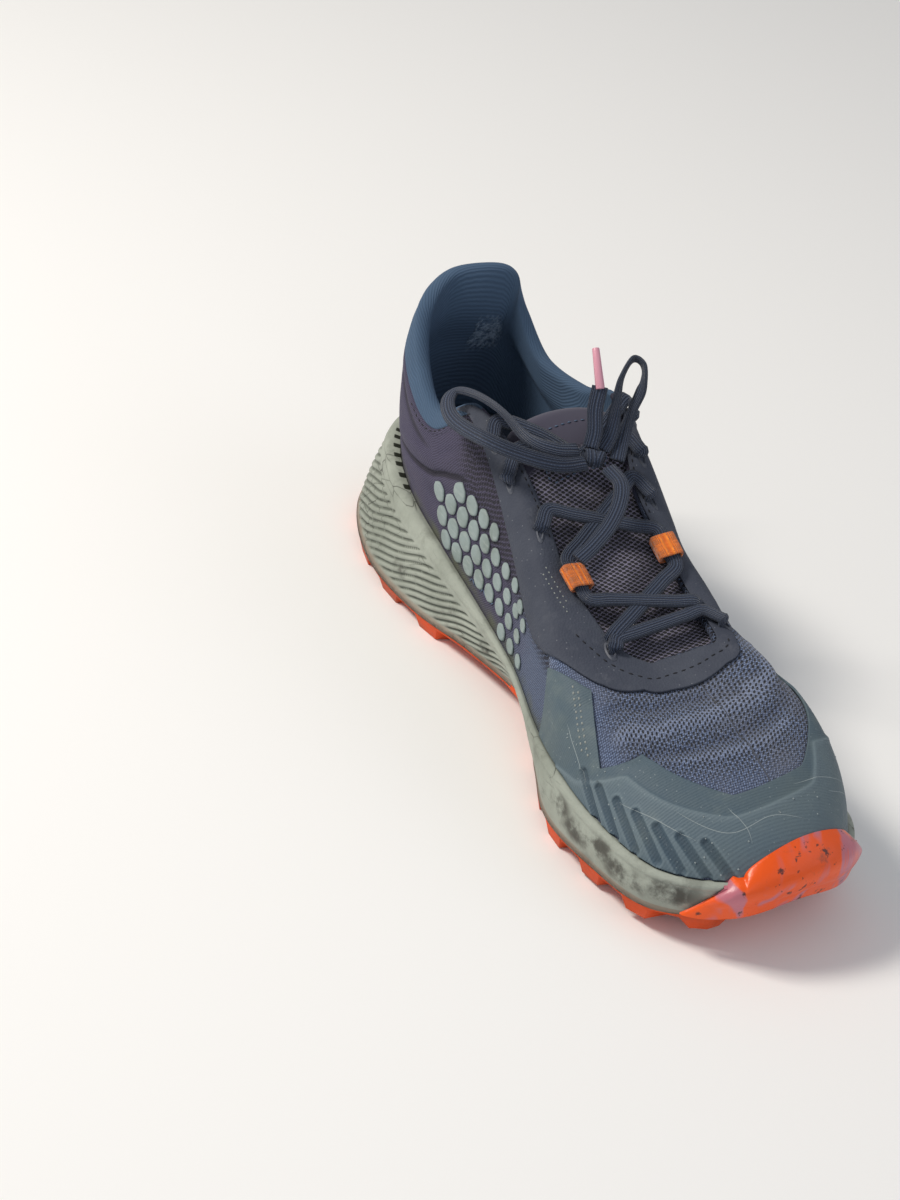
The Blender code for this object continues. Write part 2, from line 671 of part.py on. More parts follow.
def flat_lace(bm, line, faces):
    # A flat oval lace that lies on its broad side.
    ahead = np.gradient(line, axis=0)
    ahead /= np.linalg.norm(ahead, axis=1, keepdims=True)
    across = np.cross(ahead, faces)
    across /= np.linalg.norm(across, axis=1, keepdims=True)
    up = np.cross(across, ahead)
    flat = LACE_FLAT
    profile = ((1, 0), (flat, 1), (-flat, 1), (-1, 0), (-flat, -1), (flat, -1))
    half_width = LACE_WIDTH / 2
    half_height = LACE_THICKNESS / 2
    sections = []
    for point, side, rise in zip(line, across, up):
        corners = [point + side * x * half_width + rise * y * half_height for x, y in profile]
        sections.append(np.array(corners))
    tube(bm, sections)


def make_lace(name, look, strands):
    # The strands of one crossing joined into one solid.
    pieces = []
    for number, strand in enumerate(strands):
        bm = bmesh.new()
        flat_lace(bm, *strand_line(*strand))
        pieces.append(finish(bm, name if number == 0 else f"{name} strand {number}", look, 50))
    for other in pieces[1:]:
        joint = pieces[0].modifiers.new("joined", "BOOLEAN")
        joint.operation = "UNION"
        joint.object = other
        other.hide_render = True
        other.display_type = "WIRE"
    return pieces[0]


def make_webbing_loop(name, look, u):
    # A flattened ring of webbing that stands on the eyestay's edge and holds the lace.
    bm = bmesh.new()
    base = upper_skin(u, 1.0, FILM_CLEARANCE + FILM + GAP)
    normal = upper_normal(u, 1.0)
    ahead = upper_skin(u + 0.05, 1.0, 0.0) - upper_skin(u - 0.05, 1.0, 0.0)
    ahead /= np.linalg.norm(ahead)
    across = np.cross(ahead, normal)
    half_width = WEBBING_WIDTH / 2
    centre = base + normal * WEBBING_HEIGHT / 2

    def ring(shrink, shift):
        angles = np.linspace(0, 2 * np.pi, 12, endpoint=False)
        wide = half_width - shrink
        high = WEBBING_HEIGHT / 2 - shrink
        side = np.sign(np.cos(angles)) * np.abs(np.cos(angles))**WEBBING_ROUNDING * wide
        rise = np.sign(np.sin(angles)) * np.abs(np.sin(angles))**WEBBING_ROUNDING * high
        return centre + across * side[:, None] + normal * rise[:, None] + ahead * shift

    sections = [ring(0.0, -half_width), ring(0.0, half_width),
                ring(WEBBING, half_width), ring(WEBBING, -half_width)]
    tube(bm, sections, ends=False)
    return finish(bm, name, look, 40)


def make_cord(name, look, points, radius):
    # A round tube along a smooth curve through the points, which are in millimetres.
    points = np.asarray(points, float) / 1000
    length = np.linalg.norm(np.diff(points, axis=0), axis=1).sum()
    line = smooth_line(points, max(3, round(length / (CORD_STEP * 2 * radius)) + 1))
    curve = bpy.data.curves.new(name, "CURVE")
    curve.dimensions = "3D"
    curve.bevel_depth = radius
    curve.bevel_resolution = 2
    curve.use_fill_caps = True
    spline = curve.splines.new("POLY")
    spline.points.add(len(line) - 1)
    for point, place in zip(spline.points, line):
        point.co = (*place, 1.0)
    curve.materials.append(look)
    made = bpy.data.objects.new(name, curve)
    bpy.context.scene.collection.objects.link(made)
    return made


# Clearing the scene and building

for old in list(bpy.data.objects):
    bpy.data.objects.remove(old)

FOAM = material("midsole foam", (0.33, 0.36, 0.33), 0.75)
TREAD = material("outsole rubber", (0.75, 0.09, 0.015), 0.6)
MESH = material("upper mesh", (0.10, 0.13, 0.20), 0.9)
FOOTBED = material("footbed", (0.05, 0.09, 0.15), 0.95)
TOE_FILM = material("toe film", (0.09, 0.13, 0.16), 0.6)
EYESTAY_FILM = material("eyestay film", (0.05, 0.06, 0.09), 0.6)
TONGUE_CLOTH = material("tongue mesh", (0.14, 0.13, 0.18), 0.9)
LACE = material("lace", (0.03, 0.04, 0.07), 0.85)
WEBBING_CLOTH = material("webbing", (1.0, 0.25, 0.01), 0.8)
AGLET = material("aglet", (0.75, 0.37, 0.45), 0.3)

make_midsole(FOAM)
make_outsole(TREAD)
make_toe_bumper(TREAD)
make_insole(FOOTBED)
make_upper(MESH)
make_toe_guard(TOE_FILM)
make_eyestay(EYESTAY_FILM)
make_tongue(TONGUE_CLOTH)
for crossing, strands in LACE_STRANDS.items():
    make_lace(crossing, LACE, strands)
make_webbing_loop("webbing_loop_outer", WEBBING_CLOTH, 8.1)
make_webbing_loop("webbing_loop_inner", WEBBING_CLOTH, 15.9)
make_cord("lace_knot", LACE, KNOT, KNOT_RADIUS)
make_cord("lace_bow_outer", LACE, BOW_OUTER, CORD_RADIUS)
make_cord("lace_bow_inner", LACE, BOW_INNER, CORD_RADIUS)
make_cord("lace_end_inner", LACE, END_INNER, CORD_RADIUS)
make_cord("lace_end_outer", LACE, END_OUTER, CORD_RADIUS)
make_cord("aglet", AGLET, AGLET_LINE, AGLET_RADIUS)
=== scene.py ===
import bmesh
import bpy
import numpy as np
from mathutils import Matrix, Vector

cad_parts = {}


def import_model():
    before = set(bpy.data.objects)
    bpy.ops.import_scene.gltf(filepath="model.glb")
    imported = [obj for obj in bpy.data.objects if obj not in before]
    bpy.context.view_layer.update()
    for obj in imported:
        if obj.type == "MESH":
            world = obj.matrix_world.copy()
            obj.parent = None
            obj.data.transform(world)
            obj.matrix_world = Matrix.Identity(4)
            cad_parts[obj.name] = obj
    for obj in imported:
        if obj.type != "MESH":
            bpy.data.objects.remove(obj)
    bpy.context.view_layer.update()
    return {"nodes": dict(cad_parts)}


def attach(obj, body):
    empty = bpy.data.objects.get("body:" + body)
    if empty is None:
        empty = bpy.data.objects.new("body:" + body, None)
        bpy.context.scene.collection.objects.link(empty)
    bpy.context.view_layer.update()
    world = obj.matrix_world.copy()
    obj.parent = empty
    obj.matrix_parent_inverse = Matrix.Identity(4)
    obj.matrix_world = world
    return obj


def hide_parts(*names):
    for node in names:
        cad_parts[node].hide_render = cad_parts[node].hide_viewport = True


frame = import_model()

# A worn right trail running shoe. Metres, Z up, toe towards -Y, outer side towards -X.
# Stations run round the last: 0 the back of the heel, 6 the outer side, 12 the toe, 18 the inner side.

last = {"length": 0.305, "ball": 0.102, "heelStack": 0.048, "heel": 0.1155, "instep": 0.100,
        "toeSpring": 0.013, "heelFlare": 0.008, "rail": 0.005, "soleFoot": 0.007, "gap": 0.0003,
        "wall": 0.0022, "collarWall": 0.0030, "seat": 0.003, "outsole": 0.0025, "bulge": 0.0012,
        "filmLift": 0.0005, "film": 0.0008, "filmBack": 0.0009, "bumper": 0.0026}

# side and along as shares of ball and length, rail height, lift of the foot, flare, width of the rail
soleStations = np.array([
    (0.065, 0.007, 1.000, 0.46, 0.92, 1.00), (-0.145, 0.029, 0.935, 0.31, 1.05, 1.00),
    (-0.265, 0.090, 0.865, 0.08, 1.02, 1.05), (-0.330, 0.188, 0.810, 0.00, 1.00, 0.92),
    (-0.340, 0.302, 0.745, 0.05, 0.50, 0.72), (-0.335, 0.413, 0.650, 0.25, -0.46, 0.64),
    (-0.350, 0.532, 0.585, 0.34, -1.25, 0.50), (-0.430, 0.648, 0.575, 0.17, -0.70, 0.50),
    (-0.475, 0.738, 0.590, 0.08, -0.20, 0.58), (-0.455, 0.837, 0.550, 0.20, -0.18, 0.58),
    (-0.365, 0.931, 0.545, 0.40, 0.00, 0.58), (-0.150, 0.988, 0.620, 0.72, -0.18, 0.60),
    (0.105, 0.995, 0.690, 1.00, -0.45, 0.64), (0.320, 0.973, 0.660, 0.77, -0.34, 0.70),
    (0.460, 0.913, 0.600, 0.42, -0.05, 0.76), (0.515, 0.831, 0.515, 0.15, 0.10, 0.76),
    (0.520, 0.743, 0.475, 0.04, 0.10, 0.76), (0.480, 0.647, 0.510, 0.08, 0.10, 0.78),
    (0.435, 0.539, 0.630, 0.23, 0.12, 0.70), (0.405, 0.426, 0.770, 0.31, 0.25, 0.86),
    (0.400, 0.311, 0.820, 0.08, 0.50, 1.00), (0.430, 0.190, 0.860, 0.04, 0.75, 1.20),
    (0.400, 0.085, 0.925, 0.08, 0.80, 1.20), (0.275, 0.023, 0.985, 0.31, 0.84, 1.00)])

# side, along and height of the opening, then low swell, its rise, high swell and its drop
upperStations = np.array([
    (0.100, 0.043, 1.000, 0.020, 0.50, -0.105, 0.33), (-0.070, 0.038, 0.970, 0.045, 0.51, -0.040, 0.30),
    (-0.205, 0.070, 0.890, 0.065, 0.46, 0.035, 0.29), (-0.275, 0.144, 0.750, 0.060, 0.46, 0.050, 0.29),
    (-0.305, 0.223, 0.715, 0.030, 0.43, 0.045, 0.26), (-0.265, 0.297, 0.995, 0.010, 0.29, 0.060, 0.12),
    (-0.210, 0.380, 0.925, 0.010, 0.31, 0.080, 0.09), (-0.195, 0.463, 0.810, 0.010, 0.38, 0.080, 0.09),
    (-0.195, 0.544, 0.690, 0.010, 0.50, 0.080, 0.10), (-0.145, 0.637, 0.590, 0.010, 0.62, 0.080, 0.09),
    (-0.055, 0.675, 0.560, 0.010, 0.75, 0.100, 0.03), (0.015, 0.676, 0.565, 0.010, 0.86, 0.110, -0.02),
    (0.070, 0.677, 0.580, 0.010, 0.97, 0.125, -0.04), (0.140, 0.678, 0.600, 0.010, 0.83, 0.125, -0.08),
    (0.215, 0.676, 0.625, 0.010, 0.69, 0.135, -0.10), (0.235, 0.611, 0.645, 0.010, 0.52, 0.085, 0.03),
    (0.225, 0.524, 0.730, 0.010, 0.39, 0.050, 0.12), (0.215, 0.433, 0.855, 0.005, 0.31, 0.035, 0.13),
    (0.270, 0.352, 1.000, 0.000, 0.28, 0.035, 0.12), (0.370, 0.279, 0.960, -0.010, 0.38, 0.045, 0.20),
    (0.400, 0.202, 0.720, 0.000, 0.50, 0.030, 0.32), (0.335, 0.128, 0.730, 0.030, 0.55, 0.010, 0.37),
    (0.280, 0.075, 0.860, 0.035, 0.55, -0.025, 0.33), (0.225, 0.051, 0.975, 0.030, 0.52, -0.080, 0.31)])
collarStations = [0, 1, 2, 3, 4, 20, 21, 22, 23]
onFilm = last["filmLift"] + last["film"]


def unit(way):
    return way / np.linalg.norm(way, axis=-1, keepdims=True)


def runOf(points):
    # how far along its line each point lies
    return np.concatenate([[0], np.cumsum(np.linalg.norm(np.diff(points, axis=0), axis=1))])


def alongStations(values, u):
    # a smooth closed curve through the 24 values
    place = np.asarray(u, float) % 24
    index = np.floor(place).astype(int)
    t = place - index
    before, here, after, beyond = (values[(index + k) % 24] for k in (-1, 0, 1, 2))
    bend = (2 * before - 5 * here + 4 * after - beyond) * t**2
    return 0.5 * (2 * here + (after - before) * t + bend + (3 * here - before - 3 * after + beyond) * t**3)


top = np.full(24, last["instep"])
top[collarStations] = last["heel"]
railHeight = soleStations[:, 2] * last["heelStack"]
rise = upperStations[:, 2] * top - railHeight
shape = {"side": soleStations[:, 0] * last["ball"], "along": soleStations[:, 1] * last["length"],
         "rail": railHeight, "edge": last["soleFoot"] + soleStations[:, 3] * last["toeSpring"],
         "flare": soleStations[:, 4] * last["heelFlare"], "rim": soleStations[:, 5] * last["rail"],
         "openSide": upperStations[:, 0] * last["ball"], "openAlong": upperStations[:, 1] * last["length"],
         "openHeight": upperStations[:, 2] * top, "lowSwell": upperStations[:, 3] * last["ball"],
         "lowRise": upperStations[:, 4] * rise, "highSwell": upperStations[:, 5] * last["ball"],
         "highDrop": upperStations[:, 6] * rise}


def at(name, u):
    return alongStations(shape[name], u)


def blend(low, high, x):
    t = np.clip((np.asarray(x, float) - low) / (high - low), 0, 1)
    return t * t * (3 - 2 * t)


def placed(side, along, height):
    return np.stack(np.broadcast_arrays(side, along, height), -1).astype(float)


def outward(u):
    side = at("side", u + 0.001) - at("side", u - 0.001)
    along = at("along", u + 0.001) - at("along", u - 0.001)
    size = np.hypot(side, along)
    return -along / size, side / size


def outline(u, offset, height):
    outSide, outAlong = outward(u)
    return placed(at("side", u) + outSide * offset, at("along", u) + outAlong * offset, height)


def soleWall(u, v, lift=0.0):
    swell = last["bulge"] * np.sin(np.pi * v)
    return outline(u, at("flare", u) * (1 - v) + swell + lift, at("edge", u) + (at("rail", u) - at("edge", u)) * v)


def bezier(t, a, b, c, d):
    return (1 - t)**3 * a + 3 * (1 - t)**2 * t * b + 3 * (1 - t) * t**2 * c + t**3 * d


def upperWall(u, v):
    outSide, outAlong = outward(u)
    foot = outline(u, -at("rim", u), at("rail", u))
    edge = placed(at("openSide", u), at("openAlong", u), at("openHeight", u))
    across = edge - foot
    across[..., 2] = 0
    low = placed(outSide * at("lowSwell", u), outAlong * at("lowSwell", u), at("lowRise", u))
    high = placed(outSide * at("highSwell", u), outAlong * at("highSwell", u), -at("highDrop", u))
    lower = foot + 0.10 * across + low
    upper = edge - 0.35 * across + high
    return bezier(np.asarray(v, float)[..., None], foot, lower, upper, edge)


def upperNormal(u, v):
    roundIt = upperWall(u + 0.002, v) - upperWall(u - 0.002, v)
    upIt = upperWall(u, v + 0.002) - upperWall(u, v - 0.002)
    return unit(np.cross(upIt, roundIt))


def upperSkin(u, v, offset):
    u, v = np.broadcast_arrays(np.asarray(u, float), np.asarray(v, float))
    outSide, outAlong = outward(u)
    share = blend(0.0, 0.15, v)[..., None]
    normal = placed(outSide, outAlong, 0.0) * (1 - share) + upperNormal(u, v) * share
    return upperWall(u, v) + normal * np.asarray(offset)[..., None]


def wallAt(u):
    nearness = np.abs((np.asarray(u, float) % 24 - 12) / 12)
    return last["wall"] + (last["collarWall"] - last["wall"]) * blend(0.5, 0.7, nearness)


middle = np.array([2.9346, 151.4354, 0.0]) / 1000


def world(points):
    return np.stack([points[..., 0] - middle[0], middle[1] - points[..., 1], points[..., 2]], -1)


def worldNormal(u, v):
    return upperNormal(u, v) * [1, -1, 1]


root = "root"


def hexColour(code):
    # sRGB hex to linear
    parts = np.array([int(code[k:k + 2], 16) for k in (1, 3, 5)]) / 255
    linear = np.where(parts <= 0.04045, parts / 12.92, ((parts + 0.055) / 1.055)**2.4)
    return (*linear.tolist(), 1.0)


def addNode(tree, kind, links=None, **settings):
    node = tree.nodes.new("ShaderNode" + kind)
    for key, value in settings.items():
        setattr(node, key, value)
    for socket, source in (links or {}).items():
        if isinstance(source, bpy.types.NodeSocket):
            tree.links.new(source, node.inputs[socket])
        else:
            node.inputs[socket].default_value = source
    return node


def newMaterial(name, **inputs):
    made = bpy.data.materials.new(name)
    made.use_nodes = True
    tree = made.node_tree
    shader = tree.nodes["Principled BSDF"]
    for key, value in inputs.items():
        shader.inputs[key.replace("_", " ")].default_value = hexColour(value) if isinstance(value, str) else value
    return made, tree, shader


def publish(obj, slotName, *nodes):
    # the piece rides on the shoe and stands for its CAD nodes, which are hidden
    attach(obj, root)
    if nodes:
        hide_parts(*nodes)
    return obj


def finishMesh(bm, name, looks, sharp=None):
    bmesh.ops.recalc_face_normals(bm, faces=bm.faces)
    mesh = bpy.data.meshes.new(name)
    bm.to_mesh(mesh)
    bm.free()
    mesh.shade_smooth()
    if sharp:
        mesh.set_sharp_from_angle(angle=np.radians(sharp))
    for look in looks:
        mesh.materials.append(look)
    obj = bpy.data.objects.new(name, mesh)
    bpy.context.scene.collection.objects.link(obj)
    return obj


def gridInto(bm, columns, rows, place, cloth=None, marks=None, lookOf=None):
    # adds a grid whose corners are moved to place(s, t), with a cloth map in metres and named marks
    layer = bm.loops.layers.uv.get("cloth") or bm.loops.layers.uv.new("cloth")
    for key in marks or {}:
        bm.verts.layers.float.get(key) or bm.verts.layers.float.new(key)
    before = set(bm.verts)
    bmesh.ops.create_grid(bm, x_segments=columns, y_segments=rows, size=1)
    verts = [v for v in bm.verts if v not in before] if before else list(bm.verts)
    flat = np.array([v.co[:2] for v in verts])
    low, high = flat.min(0), flat.max(0)
    s, t = ((flat - low) / (high - low)).T
    points = place(s, t)
    if cloth is not None:
        maps = cloth(s, t)
        rank = {v: k for k, v in enumerate(verts)}
        for face in {f for v in verts for f in v.link_faces}:
            for loop in face.loops:
                loop[layer].uv = maps[rank[loop.vert]]
    if lookOf is not None:
        kinds = lookOf(s, t)
        rank = {v: k for k, v in enumerate(verts)}
        for face in {f for v in verts for f in v.link_faces}:
            face.material_index = int(round(np.median([kinds[rank[v]] for v in face.verts])))
    for key, values in (marks or {}).items():
        mark = bm.verts.layers.float.get(key)
        for vert, value in zip(verts, values(s, t, points)):
            vert[mark] = float(value)
    for vert, point in zip(verts, points):
        vert.co = point
    return verts


def weld(bm, dist=2e-6):
    bmesh.ops.remove_doubles(bm, verts=bm.verts, dist=dist)


def sealed(bm, dist=2e-6):
    weld(bm, dist)
    bmesh.ops.holes_fill(bm, edges=[edge for edge in bm.edges if edge.is_boundary], sides=0)


def rounded(bm, edges, offset):
    bmesh.ops.bevel(bm, geom=edges, offset=offset, segments=2, affect="EDGES", profile=0.5, material=-1)


def modified(obj, kind, **settings):
    modifier = obj.modifiers.new(kind.lower(), kind)
    for key, value in settings.items():
        setattr(modifier, key, value)


def backed(obj, thick):
    modified(obj, "SOLIDIFY", thickness=thick, offset=-1.0, use_even_offset=False)


def toLine(points, line):
    # the shortest distance from each point to a line through the given places, and how far along
    best = np.full(len(points), 1e9)
    where = np.zeros(len(points))
    lengths = np.linalg.norm(np.diff(line, axis=0), axis=1)
    start = np.concatenate([[0], np.cumsum(lengths)])
    for k, (a, b) in enumerate(zip(line, line[1:])):
        d = b - a
        part = np.clip(((points - a) @ d) / (d @ d), 0, 1)
        gap = np.linalg.norm(points - a - part[:, None] * d, axis=1)
        closer = gap < best
        best = np.where(closer, gap, best)
        where = np.where(closer, start[k] + part * lengths[k], where)
    return best, where / start[-1]


def smoothLine(points, count):
    points = np.asarray(points, float)
    padded = np.vstack([2 * points[0] - points[1], points, 2 * points[-1] - points[-2]])
    t = np.linspace(0, len(points) - 1, 16 * len(points))
    index = np.minimum(t.astype(int), len(points) - 2)
    part = (t - index)[:, None]
    a, b, c, d = (padded[index + k] for k in range(4))
    curve = 0.5 * (2 * b + (c - a) * part + (2 * a - 5 * b + 4 * c - d) * part**2 + (3 * b - a - 3 * c + d) * part**3)
    run = runOf(curve)
    return np.stack([np.interp(np.linspace(0, run[-1], count), run, curve[:, k]) for k in range(3)], -1)


print("camera and light")
view = {"target": (-0.0625, 0.0002, 0.0546), "azimuth": -31.248, "height": 33.07, "distance": 1.0,
        "roll": 10.797, "lens": 80.57}


def aimCamera():
    az, el, roll = (np.radians(view[key]) for key in ("azimuth", "height", "roll"))
    back = np.array([np.sin(az) * np.cos(el), -np.cos(az) * np.cos(el), np.sin(el)])
    right = unit(np.cross([0, 0, 1], back))
    up = np.cross(back, right)
    turnedRight = np.cos(roll) * right + np.sin(roll) * up
    turnedUp = -np.sin(roll) * right + np.cos(roll) * up
    data = bpy.data.cameras.new("camera")
    data.lens = view["lens"]
    data.sensor_width = 36
    data.sensor_fit = "AUTO"
    camera = bpy.data.objects.new("camera", data)
    place = np.array(view["target"]) + back * view["distance"]
    turned = Matrix([[turnedRight[k], turnedUp[k], back[k], place[k]] for k in range(3)] + [[0, 0, 0, 1]])
    camera.matrix_world = turned
    bpy.context.scene.collection.objects.link(camera)
    bpy.context.scene.camera = camera


aimCamera()

lights = [("key", (-0.95, 0.55, 1.25), 0.42, 21.0, "#fff8ee"), ("fill", (0.9, -0.9, 0.9), 1.1, 2.6, "#e8f0ff"),
          ("front", (-0.5, -1.3, 0.7), 1.0, 2.2, "#f4f6ff")]
for name, place, size, power, colour in lights:
    data = bpy.data.lights.new(name, "AREA")
    data.size = size
    data.energy = power
    data.color = hexColour(colour)[:3]
    lamp = bpy.data.objects.new(name, data)
    lamp.location = place
    lamp.rotation_mode = "QUATERNION"
    lamp.rotation_quaternion = (Vector((0, 0, 0.05)) - Vector(place)).to_track_quat("-Z", "Y")
    bpy.context.scene.collection.objects.link(lamp)

studio = bpy.data.worlds.new("studio")
studio.use_nodes = True
studio.node_tree.nodes["Background"].inputs["Color"].default_value = hexColour("#f2f4f7")
studio.node_tree.nodes["Background"].inputs["Strength"].default_value = 0.40
bpy.context.scene.world = studio
bpy.context.scene.view_settings.view_transform = "Standard"

floorLook, _, _ = newMaterial("matt white studio paper", Base_Color="#f4f4f3", Roughness=0.9)
bm = bmesh.new()
bmesh.ops.create_grid(bm, x_segments=2, y_segments=2, size=3)
floor = finishMesh(bm, "floor", [floorLook])

# creases, listed on the upper as station and share of the way up
creases = [
    # points, half width mm, depth mm (negative for a ridge)
    ([(1.2, 0.05), (1.75, 0.08), (2.3, 0.15), (3.35, 0.38), (4.15, 0.575), (4.6, 0.57), (5.0, 0.54)], 1.3, 1.5),
    ([(2.3, 0.27), (3.3, 0.52), (4.1, 0.70), (4.7, 0.67)], 3.2, -1.0),
    ([(9.0, 0.40), (9.6, 0.60), (10.6, 0.70), (12.2, 0.74), (13.6, 0.72)], 3.2, -1.3),
    ([(8.9, 0.55), (9.5, 0.72), (10.6, 0.80), (12.2, 0.82)], 2.6, 1.2),
    ([(9.2, 0.36), (10.0, 0.55), (11.2, 0.62), (12.6, 0.64), (13.8, 0.66)], 2.8, 1.3),
    ([(9.9, 0.53), (11.0, 0.56), (12.4, 0.57), (13.6, 0.62)], 2.4, -0.8),
    ([(12.6, 0.78), (13.6, 0.76), (14.6, 0.74), (15.4, 0.66)], 3.0, -1.1),
    ([(13.2, 0.66), (14.2, 0.68), (15.2, 0.62), (16.0, 0.50)], 2.6, 0.8),
    ([(8.1, 0.20), (8.5, 0.45), (8.9, 0.62)], 3.0, 0.5),
    ([(15.2, 0.80), (15.8, 0.60), (16.2, 0.36)], 3.0, 0.6),
    ([(2.0, 0.62), (3.0, 0.66), (4.0, 0.70), (4.8, 0.72)], 2.2, 0.9),
    ([(3.4, 0.30), (4.6, 0.42), (5.6, 0.50)], 5.0, 0.5),
    ([(19.0, 0.40), (20.0, 0.55), (21.0, 0.60)], 4.0, 0.6),
]


def creaseDepth(u, v):
    # metres that the surface sinks by, and rises by where it is negative
    points = world(upperWall(u, v))
    sink = np.zeros(len(points))
    for line, width, depth in creases:
        fine = np.array([np.interp(np.linspace(0, 1, 24), np.linspace(0, 1, len(line)), [p[k] for p in line])
                         for k in (0, 1)])
        gap, run = toLine(points, world(upperWall(fine[0], fine[1])))
        fade = blend(0, 0.15, run) * (1 - blend(0.85, 1, run))
        sink += depth * 1e-3 * fade * np.exp(-(gap / (width * 1e-3))**2)
    return sink


collar = {"line": [(0, 0.66), (1, 0.68), (2, 0.74), (3, 0.84), (3.6, 0.88), (4.4, 0.90), (5.2, 0.965),
                   (7, 0.97), (17, 0.97), (18.8, 0.965), (19.6, 0.88), (20.4, 0.82), (21.4, 0.80), (22.6, 0.70),
                   (24, 0.66)],
          "padOut": 0.0014, "padIn": 0.0030, "rowsLow": 56, "rowsHigh": 20, "rowsRoll": 8, "rowsIn": 34,
          "throatRows": 6, "rowPitch": 0.0014, "columns": 624}
upperRows = sum(collar[key] for key in ("rowsLow", "rowsHigh", "rowsRoll", "rowsIn")) + 2


def collarLine(u):
    return np.interp(np.asarray(u, float) % 24, *np.transpose(collar["line"]))


def padding(u, v):
    # 1 where the collar is thickly padded
    near = np.abs(np.asarray(u, float) % 24 - 12)
    return blend(6.6, 8.4, near) * blend(0.45, 0.8, v)


def upperSurface(u, v, extra=0.0):
    # the outer face with its creases and padding
    return upperSkin(u, v, extra + collar["padOut"] * padding(u, v) * (1 - blend(0.9, 1, v) * 0.4)
                     - creaseDepth(u, v) * (1 - blend(0.9, 1.0, v)))


def upperV(s, t):
    # the share of the way up for each row, and the rows past the edge
    lows, highs = collar["rowsLow"], collar["rowsHigh"]
    row = np.round(t * upperRows)
    line = collarLine(s * 24)
    v = np.where(row <= 1 + lows, line * np.clip(row - 1, 0, None) / lows, 1)
    v = np.where((row > 1 + lows) & (row <= 1 + lows + highs), line + (1 - line) * (row - 1 - lows) / highs, v)
    return v, row, np.clip(row - 1 - lows - highs, 0, None)


def upperPlace(s, t):
    u = s * 24
    lows, highs, rolls, ins = (collar[key] for key in ("rowsLow", "rowsHigh", "rowsRoll", "rowsIn"))
    v, row, beyond = upperV(s, t)
    out = row <= 1 + lows + highs
    inner = row >= 1 + lows + highs + rolls
    v = np.where(inner, 1 - np.clip((beyond - rolls) / ins, 0, 1), v)
    v = np.where(row == upperRows, 0, v)
    points = np.zeros((len(u), 3))
    points[out] = upperSurface(u[out], v[out])
    thick = wallAt(u) + collar["padIn"] * padding(u, v)
    groove = out & (row == 1 + lows)
    points[groove] = upperSurface(u[groove], v[groove], -0.0005)
    points[inner] = upperSkin(u[inner], v[inner], -thick[inner])
    rolling = ~out & ~inner
    if rolling.any():
        ur = u[rolling]
        one = np.ones(len(ur))
        outer = upperSurface(ur, one)
        under = upperSkin(ur, one, -thick[rolling])
        brim = unit(upperWall(ur, one) - upperWall(ur, one * 0.97))
        angle = np.pi * beyond[rolling] / rolls
        half = (outer - under) / 2
        size = np.linalg.norm(half, axis=1, keepdims=True)
        turned = brim * size * np.sin(angle)[:, None] * 0.9
        points[rolling] = (outer + under) / 2 + half * np.cos(angle)[:, None] + turned
    dropped = (row == 0) | (row == upperRows)
    points[dropped] = upperSkin(u[dropped], np.zeros(dropped.sum()), 0.0) - [0, 0, last["seat"]]
    return world(points)


def clothMap(u, v):
    # metres along the cloth: round and up the rear, along and across the forefoot
    grid = np.linspace(0, 24, 481)
    ring = upperWall(grid, np.full(481, 0.5))
    run = runOf(ring)
    levels = np.linspace(0, 1, 21)
    heights = []
    for g in grid[::10]:
        column = upperWall(np.full(21, g), levels)
        heights.append(runOf(column))
    heights = np.array(heights)
    place = (u % 24.0001) / 24 * (len(heights) - 1)
    low = np.clip(place.astype(int), 0, len(heights) - 2)
    part = place - low
    level = v * 20
    lowLevel = np.clip(level.astype(int), 0, 19)
    partLevel = level - lowLevel
    up = ((heights[low, lowLevel] * (1 - part) + heights[low + 1, lowLevel] * part) * (1 - partLevel)
          + (heights[low, lowLevel + 1] * (1 - part) + heights[low + 1, lowLevel + 1] * part) * partLevel)
    rear = np.stack([np.interp(u, grid, run), up], -1)
    points = world(upperWall(u, v))
    across = points[:, 0] - 0.8 * np.sign(points[:, 0] - 0.004) * points[:, 2]
    front = np.stack([points[:, 1], across], -1)
    return np.where(((u > 7.6) & (u < 16.7))[:, None], front, rear)


def upperCloth(s, t):
    v, row, beyond = upperV(s, t)
    maps = clothMap(s * 24, np.minimum(v, 1))
    maps[:, 1] += beyond * collar["rowPitch"]
    return maps


def upperLooks(s, t):
    v, row, beyond = upperV(s, t)
    u = s * 24
    front = (u > 7.6) & (u < 16.7)
    throat = (u > 5.1) & (u < 18.9) & (beyond < collar["rowsRoll"] + collar["throatRows"])
    low = row <= 1 + collar["rowsLow"]
    return np.where(~low & ~throat, 2, np.where(front & low, 0, 1))


print("materials of the upper")


def mapped(tree, place, **settings):
    return addNode(tree, "Mapping", {"Vector": place, **settings}).outputs[0]


def staggered(tree, cloth, pitchX, pitchY, turn=0.0, randomness=0.1):
    # a staggered lattice of dots: pitches in metres, turn in degrees. Returns the distance to a dot
    straight = mapped(tree, cloth, Rotation=(0, 0, np.radians(turn)))
    lattice = mapped(tree, straight, Scale=(1 / pitchX, 1 / pitchY, 1), Rotation=(0, 0, np.radians(45)))
    dots = addNode(tree, "TexVoronoi", {"Vector": lattice, "Scale": 1.0, "Randomness": randomness},
                   voronoi_dimensions="2D")
    return dots.outputs["Distance"]


def levels(tree, source, low, high, toLow=0.0, toHigh=1.0):
    made = addNode(tree, "MapRange", {"Value": source, "From Min": low, "From Max": high, "To Min": toLow,
                                      "To Max": toHigh}, interpolation_type="SMOOTHSTEP")
    return made.outputs["Result"]


